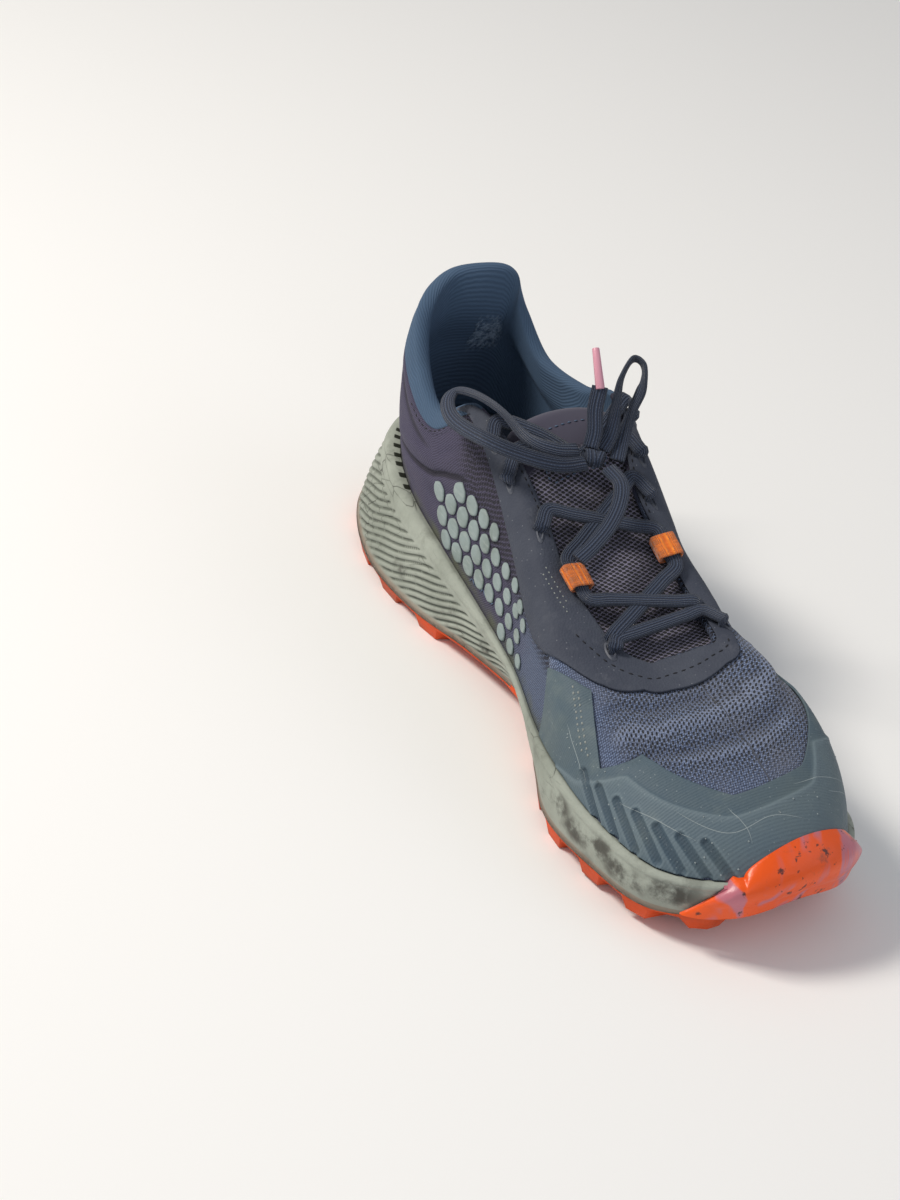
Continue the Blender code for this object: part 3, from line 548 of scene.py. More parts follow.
def mixed(tree, factor, first, second):
    # a colour may be given as a hex string
    made = addNode(tree, "Mix", {}, data_type="RGBA")
    for index, source in ((0, factor), (6, first), (7, second)):
        source = hexColour(source) if isinstance(source, str) else source
        if isinstance(source, bpy.types.NodeSocket):
            tree.links.new(source, made.inputs[index])
        else:
            made.inputs[index].default_value = source
    return made.outputs[2]


def worked(tree, operation, first, second):
    return addNode(tree, "Math", {0: first, 1: second}, operation=operation).outputs[0]


def times(tree, first, second):
    return worked(tree, "MULTIPLY", first, second)


def tinted(tree, base, mask, amount, colour):
    return mixed(tree, times(tree, mask, amount), base, colour)


def marked(tree, name):
    return addNode(tree, "Attribute", attribute_name=name).outputs["Fac"]


def clothOf(tree):
    return addNode(tree, "UVMap", uv_map="cloth").outputs[0]


def solidOf(tree):
    return addNode(tree, "TexCoord").outputs["Object"]


def noise(tree, place, scale, detail, **more):
    settings = {"Vector": place, "Scale": scale, "Detail": detail, **more}
    return addNode(tree, "TexNoise", settings).outputs["Fac"]


def wave(tree, place, scale, distortion, way="X", **more):
    settings = {"Vector": place, "Scale": scale, "Distortion": distortion, **more}
    return addNode(tree, "TexWave", settings, bands_direction=way).outputs["Fac"]


def specked(tree, place, scale):
    settings = {"Vector": place, "Scale": scale, "Randomness": 1.0}
    return addNode(tree, "TexVoronoi", settings).outputs["Distance"]


def grime(tree, place, scale, low, high, detail=6.0):
    # cloudy dirt: scale is clouds per metre
    return levels(tree, noise(tree, place, scale, detail, Roughness=0.62), low, high)


def dressed(tree, shader, colour, height, distance):
    # links the colour and a bump that is distance deep
    tree.links.new(colour, shader.inputs["Base Color"])
    made = addNode(tree, "Bump", {"Height": height, "Distance": distance, "Strength": 1.0})
    tree.links.new(made.outputs[0], shader.inputs["Normal"])


# warp knitted polyester: soft and matt, with slanted open holes between ribs over the forefoot
vampLook, tree, shader = newMaterial("warp knitted polyester mesh", Roughness=0.86, Sheen_Weight=0.25,
                                     Sheen_Roughness=0.5)
cloth = clothOf(tree)
solid = solidOf(tree)
holes = staggered(tree, cloth, 0.00125, 0.0026, 58, 0.25)
openness = marked(tree, "open")
holeMask = levels(tree, holes, 0.38, 0.24)
holeMask = times(tree, holeMask, openness)
weave = levels(tree, staggered(tree, cloth, 0.0008, 0.0013, 30, 0.25), 0.1, 0.55)
creaseShading = marked(tree, "crease")
threads = mixed(tree, weave, "#7f92b6", "#33405c")
threads = tinted(tree, threads, grime(tree, solid, 28, 0.42, 0.7), 0.6, "#6b6f7e")
# painted highlight on crease ridges, then painted shade in crease sinks
threads = mixed(tree, levels(tree, creaseShading, -0.05, -0.8, 0, 0.45), threads, "#8e9cbb")
threads = mixed(tree, levels(tree, creaseShading, 0.05, 0.8, 0, 0.35), threads, "#3a4560")
ribbed = wave(tree, mapped(tree, cloth, Rotation=(0, 0, np.radians(-35))), 150.0, 2.5, Detail=2.0)
threads = tinted(tree, threads, levels(tree, ribbed, 0.3, 0.9), 0.30, "#26304a")
# painted shade: the open holes are coloured near black
threads = mixed(tree, holeMask, threads, "#10141f")
height = worked(tree, "SUBTRACT", times(tree, weave, -0.35), times(tree, holeMask, 1.0))
dressed(tree, shader, threads, height, 0.0006)

# spacer mesh of the quarter: purple grey and matt, with small open cells up by the eyestay
quarterLook, tree, shader = newMaterial("spacer mesh polyester", Roughness=0.9, Sheen_Weight=0.12,
                                        Sheen_Roughness=0.5, Sheen_Tint="#8a86a8")
cloth = clothOf(tree)
solid = solidOf(tree)
openness = marked(tree, "open")
cells = times(tree, levels(tree, staggered(tree, cloth, 0.0015, 0.0019, 20, 0.2), 0.47, 0.30), openness)
weave = levels(tree, staggered(tree, cloth, 0.0007, 0.0007, 0, 0.2), 0.1, 0.55)
threads = mixed(tree, weave, "#534f69", "#312e42")
threads = tinted(tree, threads, grime(tree, solid, 24, 0.45, 0.75), 0.4, "#4e4a56")
blueing = marked(tree, "front")
threads = mixed(tree, blueing, threads, mixed(tree, weave, "#6b7a95", "#323c51"))
# painted shade: the open cells are coloured near black
threads = mixed(tree, cells, threads, "#14131b")
lowMark = marked(tree, "foot")
threads = mixed(tree, times(tree, lowMark, grime(tree, solid, 60, 0.3, 0.7)), threads, "#585c48")
creaseShade = marked(tree, "crease")
# painted shade darkens the deeper creases
threads = mixed(tree, levels(tree, creaseShade, 0.25, 1.0, 0, 0.8), threads, "#17161f")
height = worked(tree, "SUBTRACT", times(tree, weave, -0.3), cells)
dressed(tree, shader, threads, height, 0.0005)

# brushed knit lining: steel blue, fine ribs, soft sheen
liningLook, tree, shader = newMaterial("brushed rib knit lining", Roughness=0.92, Sheen_Weight=0.15,
                                       Sheen_Roughness=0.45, Sheen_Tint="#5d7fa6")
cloth = clothOf(tree)
solid = solidOf(tree)
ribs = addNode(tree, "TexWave", {"Vector": cloth, "Scale": 1 / 0.0014 / 6.2832 * 2, "Distortion": 1.2, "Detail": 1.0,
                                 "Detail Scale": 1.5}, wave_type="BANDS", bands_direction="Y").outputs["Fac"]
threads = mixed(tree, ribs, "#3b5068", "#435a74")
threads = tinted(tree, threads, grime(tree, solid, 22, 0.45, 0.75), 0.25, "#3f4c5c")
worn = marked(tree, "torn")
fluff = noise(tree, solid, 330.0, 9.0, Roughness=0.75)
threads = mixed(tree, times(tree, worn, levels(tree, fluff, 0.4, 0.62)), threads, "#93a5ba")
dressed(tree, shader, threads, worked(tree, "ADD", times(tree, ribs, 0.10), times(tree, worn, fluff)), 0.0012)

print("upper")


def openMark(s, t, points):
    u = s * 24
    v, row, beyond = upperV(s, t)
    vamp = blend(8.6, 9.6, u) * (1 - blend(15.6, 16.6, u)) * blend(0.34, 0.55, v)
    quarter = blend(4.5, 4.9, u) * blend(0.30, 0.42, v) * (1 - blend(0.93, 0.97, v))
    inner = blend(17.0, 17.4, u) * (1 - blend(19.6, 20.4, u)) * blend(0.35, 0.5, v)
    return np.clip(np.where((u > 7.6) & (u < 16.7), vamp, quarter + inner), 0, 1)


def frontMark(s, t, points):
    # where the knit turns from the rear colour to the blue of the forefoot
    u = s * 24
    v, row, beyond = upperV(s, t)
    outer = blend(5.6, 6.9, u + 1.4 * (0.30 - v))
    return outer * (1 - blend(16.9, 17.8, u - 0.8 * (0.3 - v)))


def footMark(s, t, points):
    v, row, beyond = upperV(s, t)
    return 1 - blend(0.02, 0.12, v)


def tornMark(s, t, points):
    # the rubbed, torn patch of lining inside the heel
    v, row, beyond = upperV(s, t)
    inside = beyond >= collar["rowsRoll"]
    down = np.clip((beyond - collar["rowsRoll"]) / collar["rowsIn"], 0, 1)
    gap = np.hypot((s * 24 - torn["station"]) / torn["wide"], (1 - down - torn["height"]) / torn["tall"])
    return np.where(inside, 1 - blend(0.55, 1.15, gap + 0.22 * np.sin(s * 900) * np.sin(t * 300)), 0)


def creaseMark(s, t, points):
    v, row, beyond = upperV(s, t)
    # crease depth in millimetres, from which the vamp and quarter looks paint shade in creases and highlight on
    # ridges
    return creaseDepth(s * 24, np.minimum(v, 1)) * 1000


torn = {"station": 23.6, "height": 0.55, "wide": 0.62, "tall": 0.16}
bm = bmesh.new()
gridInto(bm, collar["columns"], upperRows, upperPlace, upperCloth,
         {"open": openMark, "crease": creaseMark, "front": frontMark, "foot": footMark, "torn": tornMark}, upperLooks)
weld(bm)
upperPiece = finishMesh(bm, "upper_body", [vampLook, quarterLook, liningLook])
publish(upperPiece, "upper_mesh", "upper")
print("upper done", len(upperPiece.data.polygons))

print("films")


def filmPlace(edge, foot, lift, relief=None, topV=None):
    # the film between its foot and its edge line, with more columns where the edge climbs
    line = np.array(edge)
    run = np.concatenate([[0], np.cumsum(np.hypot(np.diff(line[:, 0]) * 0.028, np.diff(line[:, 1]) * 0.07))])

    def stations(s, t):
        u = np.interp(s * run[-1], run, line[:, 0])
        high = np.interp(s * run[-1], run, line[:, 1])
        if topV is None:
            low = foot(u)
            high = np.maximum(high, low + 0.002)
        else:
            low, high = np.minimum(high, topV - 0.002), np.full(len(u), topV)
        return u, low + (high - low) * t

    def place(s, t):
        u, v = stations(s, t)
        extra = lift + (relief(u, v) if relief else 0)
        return world(upperSurface(u, v, extra))

    return stations, place


def filmCloth(stations):
    def cloth(s, t):
        u, v = stations(s, t)
        return clothMap(u, v)
    return cloth


toeGuard = {"edge": [(7.25, 0.03), (7.65, 0.42), (8.75, 0.62), (8.95, 0.28), (9.8, 0.52), (11.15, 0.38),
                     (12.65, 0.42), (14.25, 0.60), (15.2, 0.56), (16.2, 0.42), (16.6, 0.03)],
            "ridge": [(8.0, 0.02), (8.5, 0.08), (9.45, 0.35), (11.0, 0.28), (12.65, 0.33), (13.3, 0.46),
                      (14.3, 0.36), (15.4, 0.30)],
            "ridgeWidth": 1.0, "ridgeHeight": 0.60, "step": 0.35,
            "grooves": 7, "grooveStart": (8.62, 0.21), "grooveShift": (0.36, -0.165), "groovePitch": 0.33,
            "grooveWidth": 1.5, "grooveDepth": 1.1, "columns": 460, "rows": 72}


def pathIn(points, count=40):
    line = np.array(points, float)
    share = np.linspace(0, 1, len(line))
    fine = np.linspace(0, 1, count)
    return world(upperWall(np.interp(fine, share, line[:, 0]), np.interp(fine, share, line[:, 1])))


def toeRelief(u, v):
    points = world(upperWall(u, v))
    gap, _ = toLine(points, pathIn(toeGuard["ridge"], 60))
    ridge = np.array(toeGuard["ridge"])
    below = v < np.interp(u, ridge[:, 0], ridge[:, 1])
    side = np.where(below, 1, -1) * gap * 1000
    height = toeGuard["ridgeHeight"] * np.exp(-(gap * 1000 / toeGuard["ridgeWidth"])**2)
    height = height + toeGuard["step"] * blend(-0.4, 1.6, side) * blend(7.9, 8.4, u) * (1 - blend(15.0, 15.6, u))
    startU, startV = toeGuard["grooveStart"]
    shiftU, shiftV = toeGuard["grooveShift"]
    for k in range(toeGuard["grooves"]):
        first = (startU + k * toeGuard["groovePitch"], startV - 0.012 * abs(k - 3))
        line = pathIn([first, (first[0] + shiftU, first[1] + shiftV)], 8)
        gap, _ = toLine(points, line)
        gap = gap * 1000
        height = height - toeGuard["grooveDepth"] * np.exp(-(gap / toeGuard["grooveWidth"])**4)
        height = height + 0.22 * np.exp(-((gap - toeGuard["grooveWidth"] * 1.35) / 0.6)**2)
    return height / 1000


def bumperLine(u):
    part = np.clip((np.asarray(u, float) - 11.1) / (13.25 - 11.1), 0, 1)
    return 0.03 + 0.12 * np.sin(np.pi * part)**0.5


# thermoplastic film, hot pressed over the mesh: slate grey, half matt, dusty, with embossed relief
guardLook, tree, shader = newMaterial("hot pressed thermoplastic film", Roughness=0.62, Specular_IOR_Level=0.35)
solid = solidOf(tree)
cloth = clothOf(tree)
base = mixed(tree, grime(tree, solid, 18, 0.35, 0.72), "#495b68", "#566469")
dust = times(tree, grime(tree, solid, 55, 0.5, 0.8, 8), 0.55)
base = mixed(tree, dust, base, "#75807d")
specks = specked(tree, solid, 420.0)
base = tinted(tree, base, levels(tree, specks, 0.13, 0.06), 0.5, "#9aa4a6")
relief = marked(tree, "relief")
# painted highlight on the raised ridge and step, painted shade in the grooves
base = mixed(tree, levels(tree, relief, 0.12, 0.55, 0, 0.5), base, "#76858c")
base = mixed(tree, levels(tree, relief, -0.15, -0.9, 0, 0.42), base, "#33414d")
microRibs = wave(tree, cloth, 320.0, 0.6, "X")
fineGrain = noise(tree, solid, 900.0, 3.0)
dressed(tree, shader, base, worked(tree, "ADD", times(tree, microRibs, 0.35), fineGrain), 0.00018)

stations, place = filmPlace(toeGuard["edge"], lambda u: np.maximum(0.015, bumperLine(u) - 0.02),
                            onFilm, toeRelief)
bm = bmesh.new()
gridInto(bm, toeGuard["columns"], toeGuard["rows"], place, filmCloth(stations),
         {"relief": lambda s, t, points: toeRelief(*stations(s, t)) * 1000})
guard = finishMesh(bm, "toe_guard_film", [guardLook])
backed(guard, last["filmBack"])
publish(guard, "toe_film", "toe_guard")

eyestay = {"edge": [(4.62, 0.972), (4.85, 0.93), (5.15, 0.83), (5.6, 0.70), (6.0, 0.58), (6.6, 0.43), (7.0, 0.395),
                    (7.5, 0.45), (8.0, 0.54), (9.0, 0.72), (9.95, 0.84), (12.0, 0.862), (13.2, 0.888), (14.2, 0.90),
                    (14.9, 0.86), (15.6, 0.78), (16.5, 0.69), (17.5, 0.62), (18.4, 0.68), (18.9, 0.80), (19.2, 0.97)],
           "top": 0.988, "columns": 520, "rows": 40}

# synthetic leather, embossed and welded: dark navy grey, fine leather grain, dusty and scuffed
eyestayLook, tree, shader = newMaterial("welded synthetic nubuck", Roughness=0.74, Specular_IOR_Level=0.3)
solid = solidOf(tree)
base = mixed(tree, grime(tree, solid, 30, 0.35, 0.7), "#3b404d", "#474c58")
base = tinted(tree, base, grime(tree, solid, 80, 0.52, 0.78, 9), 0.5, "#646770")
specks = specked(tree, solid, 380.0)
base = tinted(tree, base, levels(tree, specks, 0.11, 0.05), 0.6, "#8d9096")
grain = specked(tree, solid, 1100.0)
dressed(tree, shader, base, grain, 0.00015)

stations, place = filmPlace(eyestay["edge"], None, onFilm, None, eyestay["top"])
bm = bmesh.new()
gridInto(bm, eyestay["columns"], eyestay["rows"], place, filmCloth(stations))
stay = finishMesh(bm, "eyestay_film", [eyestayLook])
backed(stay, last["filmBack"])
publish(stay, "eyestay_film", "eyestay")

# pale cells on the outer quarter: a plain cluster of rounded hexagons
cells = {"middle": (5.25, 0.27), "pitch": 9.6, "radius": 4.5, "columns": 4, "rows": 3, "lift": 0.0009,
         "thick": 0.0007,
         "top": [(3.6, 0.40), (4.5, 0.50), (5.6, 0.50), (6.2, 0.42), (6.9, 0.26)], "foot": 0.06, "first": 4.0,
         "final": 6.75}


def localSteps(u0, v0):
    centre = upperWall(np.array([u0]), np.array([v0]))[0]
    stepU = np.linalg.norm(upperWall(np.array([u0 + 0.05]), np.array([v0]))[0] - centre) / 0.05
    stepV = np.linalg.norm(upperWall(np.array([u0]), np.array([v0 + 0.02]))[0] - centre) / 0.02
    return stepU, stepV


def sideways(u0, v0):
    # how stations and share change for a metre along the shoe and a metre up its side
    points = world(upperWall(np.array([u0, u0 + 0.02, u0]), np.array([v0, v0, v0 + 0.01])))[:, 1:]
    steps = np.stack([(points[1] - points[0]) / 0.02, (points[2] - points[0]) / 0.01], -1)
    return points[0], np.linalg.inv(steps)


def cellCentres():
    found = []
    tops = np.array(cells["top"])
    home, _ = sideways(*cells["middle"])
    for j in range(-cells["rows"], cells["rows"] + 1):
        for i in range(-cells["columns"], cells["columns"] + 1):
            goal = home + [(i + 0.5 * (j % 2)) * cells["pitch"] * 1e-3, j * cells["pitch"] * 0.866e-3]
            place = np.array(cells["middle"])
            for _ in range(8):
                spot, inverse = sideways(*place)
                place = np.clip(place + inverse @ (goal - spot), (3, 0.0), (8, 0.9))
            u, v = place
            if cells["first"] < u < cells["final"] and cells["foot"] < v < np.interp(u, tops[:, 0], tops[:, 1]):
                found.append((u, v, cells["radius"] * (1 - 0.35 * blend(4.6, 6.8, u))))
    return found


# thermoplastic urethane patches: pale sage, half matt, streaked and smudged
cellLook, tree, shader = newMaterial("pale thermoplastic urethane patch", Roughness=0.55, Specular_IOR_Level=0.4)
solid = solidOf(tree)
base = mixed(tree, grime(tree, solid, 60, 0.4, 0.75), "#8b9a9a", "#76837f")
streak = noise(tree, mapped(tree, solid, Scale=(1, 0.25, 1)), 700.0, 4.0)
base = tinted(tree, base, levels(tree, streak, 0.5, 0.7), 0.3, "#a9b3b0")
dressed(tree, shader, base, streak, 0.0001)

bm = bmesh.new()
for u0, v0, radius in cellCentres():
    def hexPlace(s, t, u0=u0, v0=v0, radius=radius):
        angle = s * 2 * np.pi
        turned = angle % (np.pi / 3) - np.pi / 6
        corner = 0.93 * (1 - 0.35 * t**6 + 0.35 * t**6 / np.cos(turned))
        reach = t * radius * 1e-3 * corner
        _, inverse = sideways(u0, v0)
        shift = inverse @ np.stack([reach * np.sin(angle), reach * np.cos(angle)])
        return world(upperSurface(u0 + shift[0], v0 + shift[1], cells["lift"] * (1 - 0.5 * blend(0.86, 1.0, t))))
    gridInto(bm, 48, 10, hexPlace)
weld(bm)
cellPiece = finishMesh(bm, "quarter_cells", [cellLook])
backed(cellPiece, cells["thick"])
publish(cellPiece, "toe_film")

print("midsole")
midsole = {"ribPitch": 0.0031, "ribSlope": 0.42, "ribDepth": 0.0012, "columns": 660, "wallRows": 54, "rimRows": 11,
           "sole": 10, "skirt": 0.0016, "skirtOut": 0.0004,
           "smudges": [(8.35, 0.62, 5.0), (8.7, 0.45, 6.0), (9.15, 0.60, 7.0), (9.6, 0.42, 8.0), (10.2, 0.55, 8.0),
                       (10.8, 0.40, 6.0), (4.6, 0.50, 2.2), (5.3, 0.34, 2.6), (3.6, 0.30, 2.0), (15.0, 0.5, 7.0),
                       (17.5, 0.5, 6.0)],
           "smudgeScale": 22, "slits": (1.25, 2.95, 7)}


def ribs(u, v):
    # slanted ribs round the heel that rise towards the toe and fade under the rail
    points = world(soleWall(u, v))
    near = np.abs(np.asarray(u, float) % 24 - 12)
    share = blend(5.0, 6.6, near) * blend(0.02, 0.08, v)
    fadeTop = 0.80 - 0.10 * blend(8.5, 6.0, near)
    share = share * (1 - blend(fadeTop - 0.07, fadeTop, v))
    forward = 0.150 - points[:, 1]
    wave = 0.0004 * np.sin(forward * 2 * np.pi / 0.031)
    phase = (points[:, 2] - midsole["ribSlope"] * forward + wave) / midsole["ribPitch"]
    return midsole["ribDepth"] * share * (0.5 - 0.5 * np.cos(2 * np.pi * phase))**2


def insetLine(u, margin, height):
    return outline(u, -at("rim", u) - wallAt(u) - margin, at("rail", u) - last["seat"] - last["gap"] + height)


def underside(u, w):
    outer, inner = soleWall(u, 0.0 * w), soleWall(24 - u, 0.0 * w)
    points = outer + (inner - outer) * w[:, None]
    points[:, 1] += 0.007 * (1 - np.abs(2 * w - 1)) * blend(1, 3, u) * (1 - blend(9, 11, u))
    return points


def bed(u, w, margin):
    outer, inner = insetLine(u, margin, 0.0), insetLine(24 - u, margin, 0.0)
    points = outer + (inner - outer) * w[:, None]
    depth = 0.010 * (1 - 0.45 * blend(4, 8, u)) * np.sin(np.pi * np.clip(u, 0, 12) / 12)**0.5
    points[:, 2] -= depth * (1 - (2 * w - 1)**4)
    return points


def wallPlace(s, t):
    u = s * 24
    rows = midsole["wallRows"]
    row = np.round(t * rows).astype(int)
    v = wallRow(t)[1]
    points = soleWall(u, v, -ribs(u, v) + 0.0006 * blend(0.8, 0.9, v))
    skirt = (row == 1)
    points[skirt] = soleWall(u[skirt], np.zeros(skirt.sum()), midsole["skirtOut"])
    points[skirt, 2] -= midsole["skirt"] * (1 - blend(10.0, 11.0, u[skirt]) * (1 - blend(13.4, 14.4, u[skirt])))
    rim = at("rim", u)
    for k, (inward, down) in enumerate([(0.12, 0.0), (0.3, -0.0003), (0.5, -0.0004), (0.72, -0.0002), (0.9, 0.0)]):
        here = row == rows - 9 + k
        points[here] = outline(u[here], -(rim[here] - last["gap"]) * inward, at("rail", u[here]) - down)
    rounded = (row >= rows - 12) & (row <= rows - 10)
    points[rounded, 2] -= 0.0004 * (row[rounded] - (rows - 13)) / 3
    for k, drop in enumerate([0.0, 0.5, 1.0]):
        here = row == rows - 4 + k
        points[here] = outline(u[here], -rim[here] + last["gap"],
                               at("rail", u[here]) - drop * (last["seat"] + last["gap"]))
    here = row == rows - 1
    points[here] = insetLine(u[here], last["gap"] * 0.5, 0.0)
    here = row == rows
    points[here] = insetLine(u[here], last["gap"], 0.0)
    return world(points)


# injected ethylene vinyl acetate foam: sage grey, satin skin, creased, smudged and cracked with wear
foamLook, tree, shader = newMaterial("injected foam with a worn skin", Roughness=0.7, Specular_IOR_Level=0.35)
solid = solidOf(tree)
base = mixed(tree, grime(tree, solid, 26, 0.35, 0.7), "#a3a99f", "#8d9389")
base = tinted(tree, base, grime(tree, solid, 60, 0.52, 0.68, 9), 0.55, "#6d7068")
smudge = times(tree, grime(tree, solid, 44, 0.60, 0.70, 10), grime(tree, solid, 190, 0.35, 0.65, 6))
base = tinted(tree, base, smudge, 0.6, "#3a3a36")
spot = marked(tree, "smudge")
patchy = times(tree, spot, grime(tree, solid, 120, 0.36, 0.60, 8))
base = tinted(tree, base, patchy, 0.85, "#3d3a35")
slit = marked(tree, "slit")
# painted shade: the vents are only flat near-black colour on the foam
base = mixed(tree, levels(tree, slit, 0.3, 0.7), base, "#1e2118")
ribShade = marked(tree, "rib")
# painted shade: the rib furrows are darkened by their depth
base = tinted(tree, base, levels(tree, ribShade, 0.15, 0.9), 0.75, "#4b5148")
edgeMark = marked(tree, "foot")
base = tinted(tree, base, edgeMark, 0.55, "#86604a")
shrunk = mapped(tree, solid, Scale=(1, 0.45, 1.6))
crackCells = addNode(tree, "TexVoronoi", {"Vector": shrunk, "Scale": 120.0, "Randomness": 1.0},
                     feature="DISTANCE_TO_EDGE").outputs["Distance"]
cracks = times(tree, levels(tree, crackCells, 0.018, 0.004), grime(tree, solid, 21, 0.5, 0.62))
base = tinted(tree, base, cracks, 0.7, "#33342f")
pores = noise(tree, solid, 520.0, 5.0)
dressed(tree, shader, base, worked(tree, "SUBTRACT", pores, cracks), 0.0003)


def wallRow(t):
    # the row on the wall, and how far up the wall it is
    row = np.round(t * midsole["wallRows"])
    return row, np.clip((row - 1) / (midsole["wallRows"] - midsole["rimRows"]), 0, 1)


def ribMark(s, t, points):
    return ribs(s * 24, wallRow(t)[1]) / midsole["ribDepth"]


def stainMark(s, t, points):
    return 1 - blend(0.01, 0.07, wallRow(t)[1])


def smudgeMark(s, t, points):
    dark = np.zeros(len(s))
    for u0, v0, radius in midsole["smudges"]:
        gap = midsole["smudgeScale"] * np.hypot(s * 24 - u0, wallRow(t)[1] - v0)
        dark = np.maximum(dark, 1 - blend(0.5, 1.4, gap / radius))
    return dark


def slitMark(s, t, points):
    # narrow near-black bars between the rail and the heel of the upper: painted shade standing in for recessed vents
    fromTop = midsole["wallRows"] - wallRow(t)[0]
    first, final, count = midsole["slits"]
    part = (s * 24 - first) / (final - first)
    bars = np.cos(2 * np.pi * (part * count - 0.5)) > 0.1
    return np.where((fromTop >= 4) & (fromTop <= 7) & (part > 0) & (part < 1) & bars, 1.0, 0.0)


bm = bmesh.new()
gridInto(bm, midsole["columns"], midsole["wallRows"], wallPlace, None,
         {"rib": ribMark, "foot": stainMark, "smudge": smudgeMark, "slit": slitMark})
for sheet in (lambda s, t: world(underside(s * 12, t)), lambda s, t: world(bed(s * 12, t, last["gap"]))):
    gridInto(bm, midsole["columns"] // 2, midsole["sole"], sheet)
weld(bm, 5e-6)
foam = finishMesh(bm, "midsole_foam", [foamLook])
publish(foam, "midsole_foam", "midsole")

print("outsole")

# moulded natural rubber: orange red, satin, scuffed dull and darkened with soil on the tread
treadLook, tree, shader = newMaterial("moulded rubber tread", Roughness=0.55, Specular_IOR_Level=0.4)
solid = solidOf(tree)
base = mixed(tree, grime(tree, solid, 30, 0.35, 0.7), "#dd4c0a", "#b5410f")
low = addNode(tree, "SeparateXYZ", {"Vector": solid}).outputs["Z"]
soil = times(tree, levels(tree, low, 0.004, 0.0), grime(tree, solid, 90, 0.35, 0.7))
base = tinted(tree, base, soil, 0.7, "#6e5a4c")
base = tinted(tree, base, grime(tree, solid, 70, 0.55, 0.75, 8), 0.4, "#8d5a48")
scuffs = noise(tree, solid, 480.0, 4.0)
dressed(tree, shader, base, scuffs, 0.0002)

bm = bmesh.new()
bm.from_mesh(frame["nodes"]["outsole"].data)
weld(bm, 1e-5)
# lugs at the very tip that are too narrow to stand are closed over
tip = {"from": 9, "reach": 0.014, "narrow": 0.0065, "short": 0.0026, "below": 0.0052, "bevel": 0.0004}
us, ws = [grid.ravel() for grid in np.meshgrid(np.linspace(tip["from"], 12, 120), np.linspace(0, 1, 90))]
floor = world(underside(us, ws))
low = []
for vert in bm.verts:
    near = floor[np.argmin(np.hypot(floor[:, 0] - vert.co.x, floor[:, 1] - vert.co.y))]
    if vert.co.y < floor[:, 1].min() + tip["reach"] and vert.co.z < near[2] - tip["below"]:
        low.append(vert)
crumbs = []
while low:
    lug = [low.pop()]
    for vert in lug:
        for other in [edge.other_vert(vert) for edge in vert.link_edges]:
            if other in low:
                low.remove(other)
                lug.append(other)
    across = np.ptp(np.array([vert.co for vert in lug]), axis=0)
    if across[0] < tip["narrow"] or across[1] < tip["short"]:
        crumbs.extend(lug)
bmesh.ops.delete(bm, geom=crumbs, context="VERTS")
sealed(bm, 0.0)
tread = finishMesh(bm, "outsole_tread", [treadLook], 32)
modified(tread, "BEVEL", width=tip["bevel"], segments=2, limit_method="ANGLE", angle_limit=np.radians(35))
publish(tread, "outsole_rubber", "outsole")

bumper = {"start": 10.95, "end": 13.3, "columns": 130, "wallRows": 22, "skinRows": 12, "slant": 0.55,
          "swellFrom": 9, "swellOut": 0.0032, "swellUp": 0.0022, "low": 0.06, "fade": 0.62}


def bumperPlace(s, t):
    u = bumper["start"] + (bumper["end"] - bumper["start"]) * s
    a, b = bumper["wallRows"], bumper["skinRows"]
    total = 2 * (a + b + 1)
    row = np.round(t * total).astype(int) % total
    outer = row > a + b
    k = np.where(outer, total - 1 - row, row)
    high = np.clip(k / (a + 1 + b), 0, 1)
    u = u + bumper["slant"] * (1 - high)**1.5 * (np.clip(2 * s - 1, 0, 1)**2 - np.clip(1 - 2 * s, 0, 1)**2)
    level = bumper["low"] + (1 - bumper["low"]) * np.clip(k / a, 0, 1)
    climb = np.clip((k - a - 1) / b, 0, 1) * bumperLine(u)
    over = last["gap"] + last["bulge"] * (1 - np.sin(np.pi * level))
    side = np.clip(np.minimum(s, 1 - s) / 0.05, 0, 1)**0.5
    thick = last["bumper"] * (0.35 + 0.65 * side)
    wall = soleWall(u, level, over + outer * thick)
    fade = 1 - bumper["fade"] * np.clip((k - a - 1) / b, 0, 1)**1.5
    skin = upperSkin(u, climb, last["gap"] * 2 + outer * thick * fade)
    points = np.where((k > a)[:, None], skin, wall)
    swell = outer & (k >= bumper["swellFrom"])
    if swell.any():
        us, sides = u[swell], side[swell]
        part = ((k[swell] - bumper["swellFrom"]) / (a + 1 + b - bumper["swellFrom"]))[:, None]
        lowLevel = np.full(len(us), bumper["low"] + (1 - bumper["low"]) * bumper["swellFrom"] / a)
        lowOver = last["gap"] + last["bulge"] * (1 - np.sin(np.pi * lowLevel))
        first = soleWall(us, lowLevel, lowOver + thick[swell])
        corner = soleWall(us, np.ones(len(us)), last["gap"] + last["bulge"] + thick[swell]
                          + bumper["swellOut"] * sides)
        corner[:, 2] += bumper["swellUp"] * sides
        final = upperSkin(us, bumperLine(us), last["gap"] * 2 + thick[swell] * (1 - bumper["fade"]))
        points[swell] = (1 - part)**2 * first + 2 * (1 - part) * part * corner + part**2 * final
    return world(points)


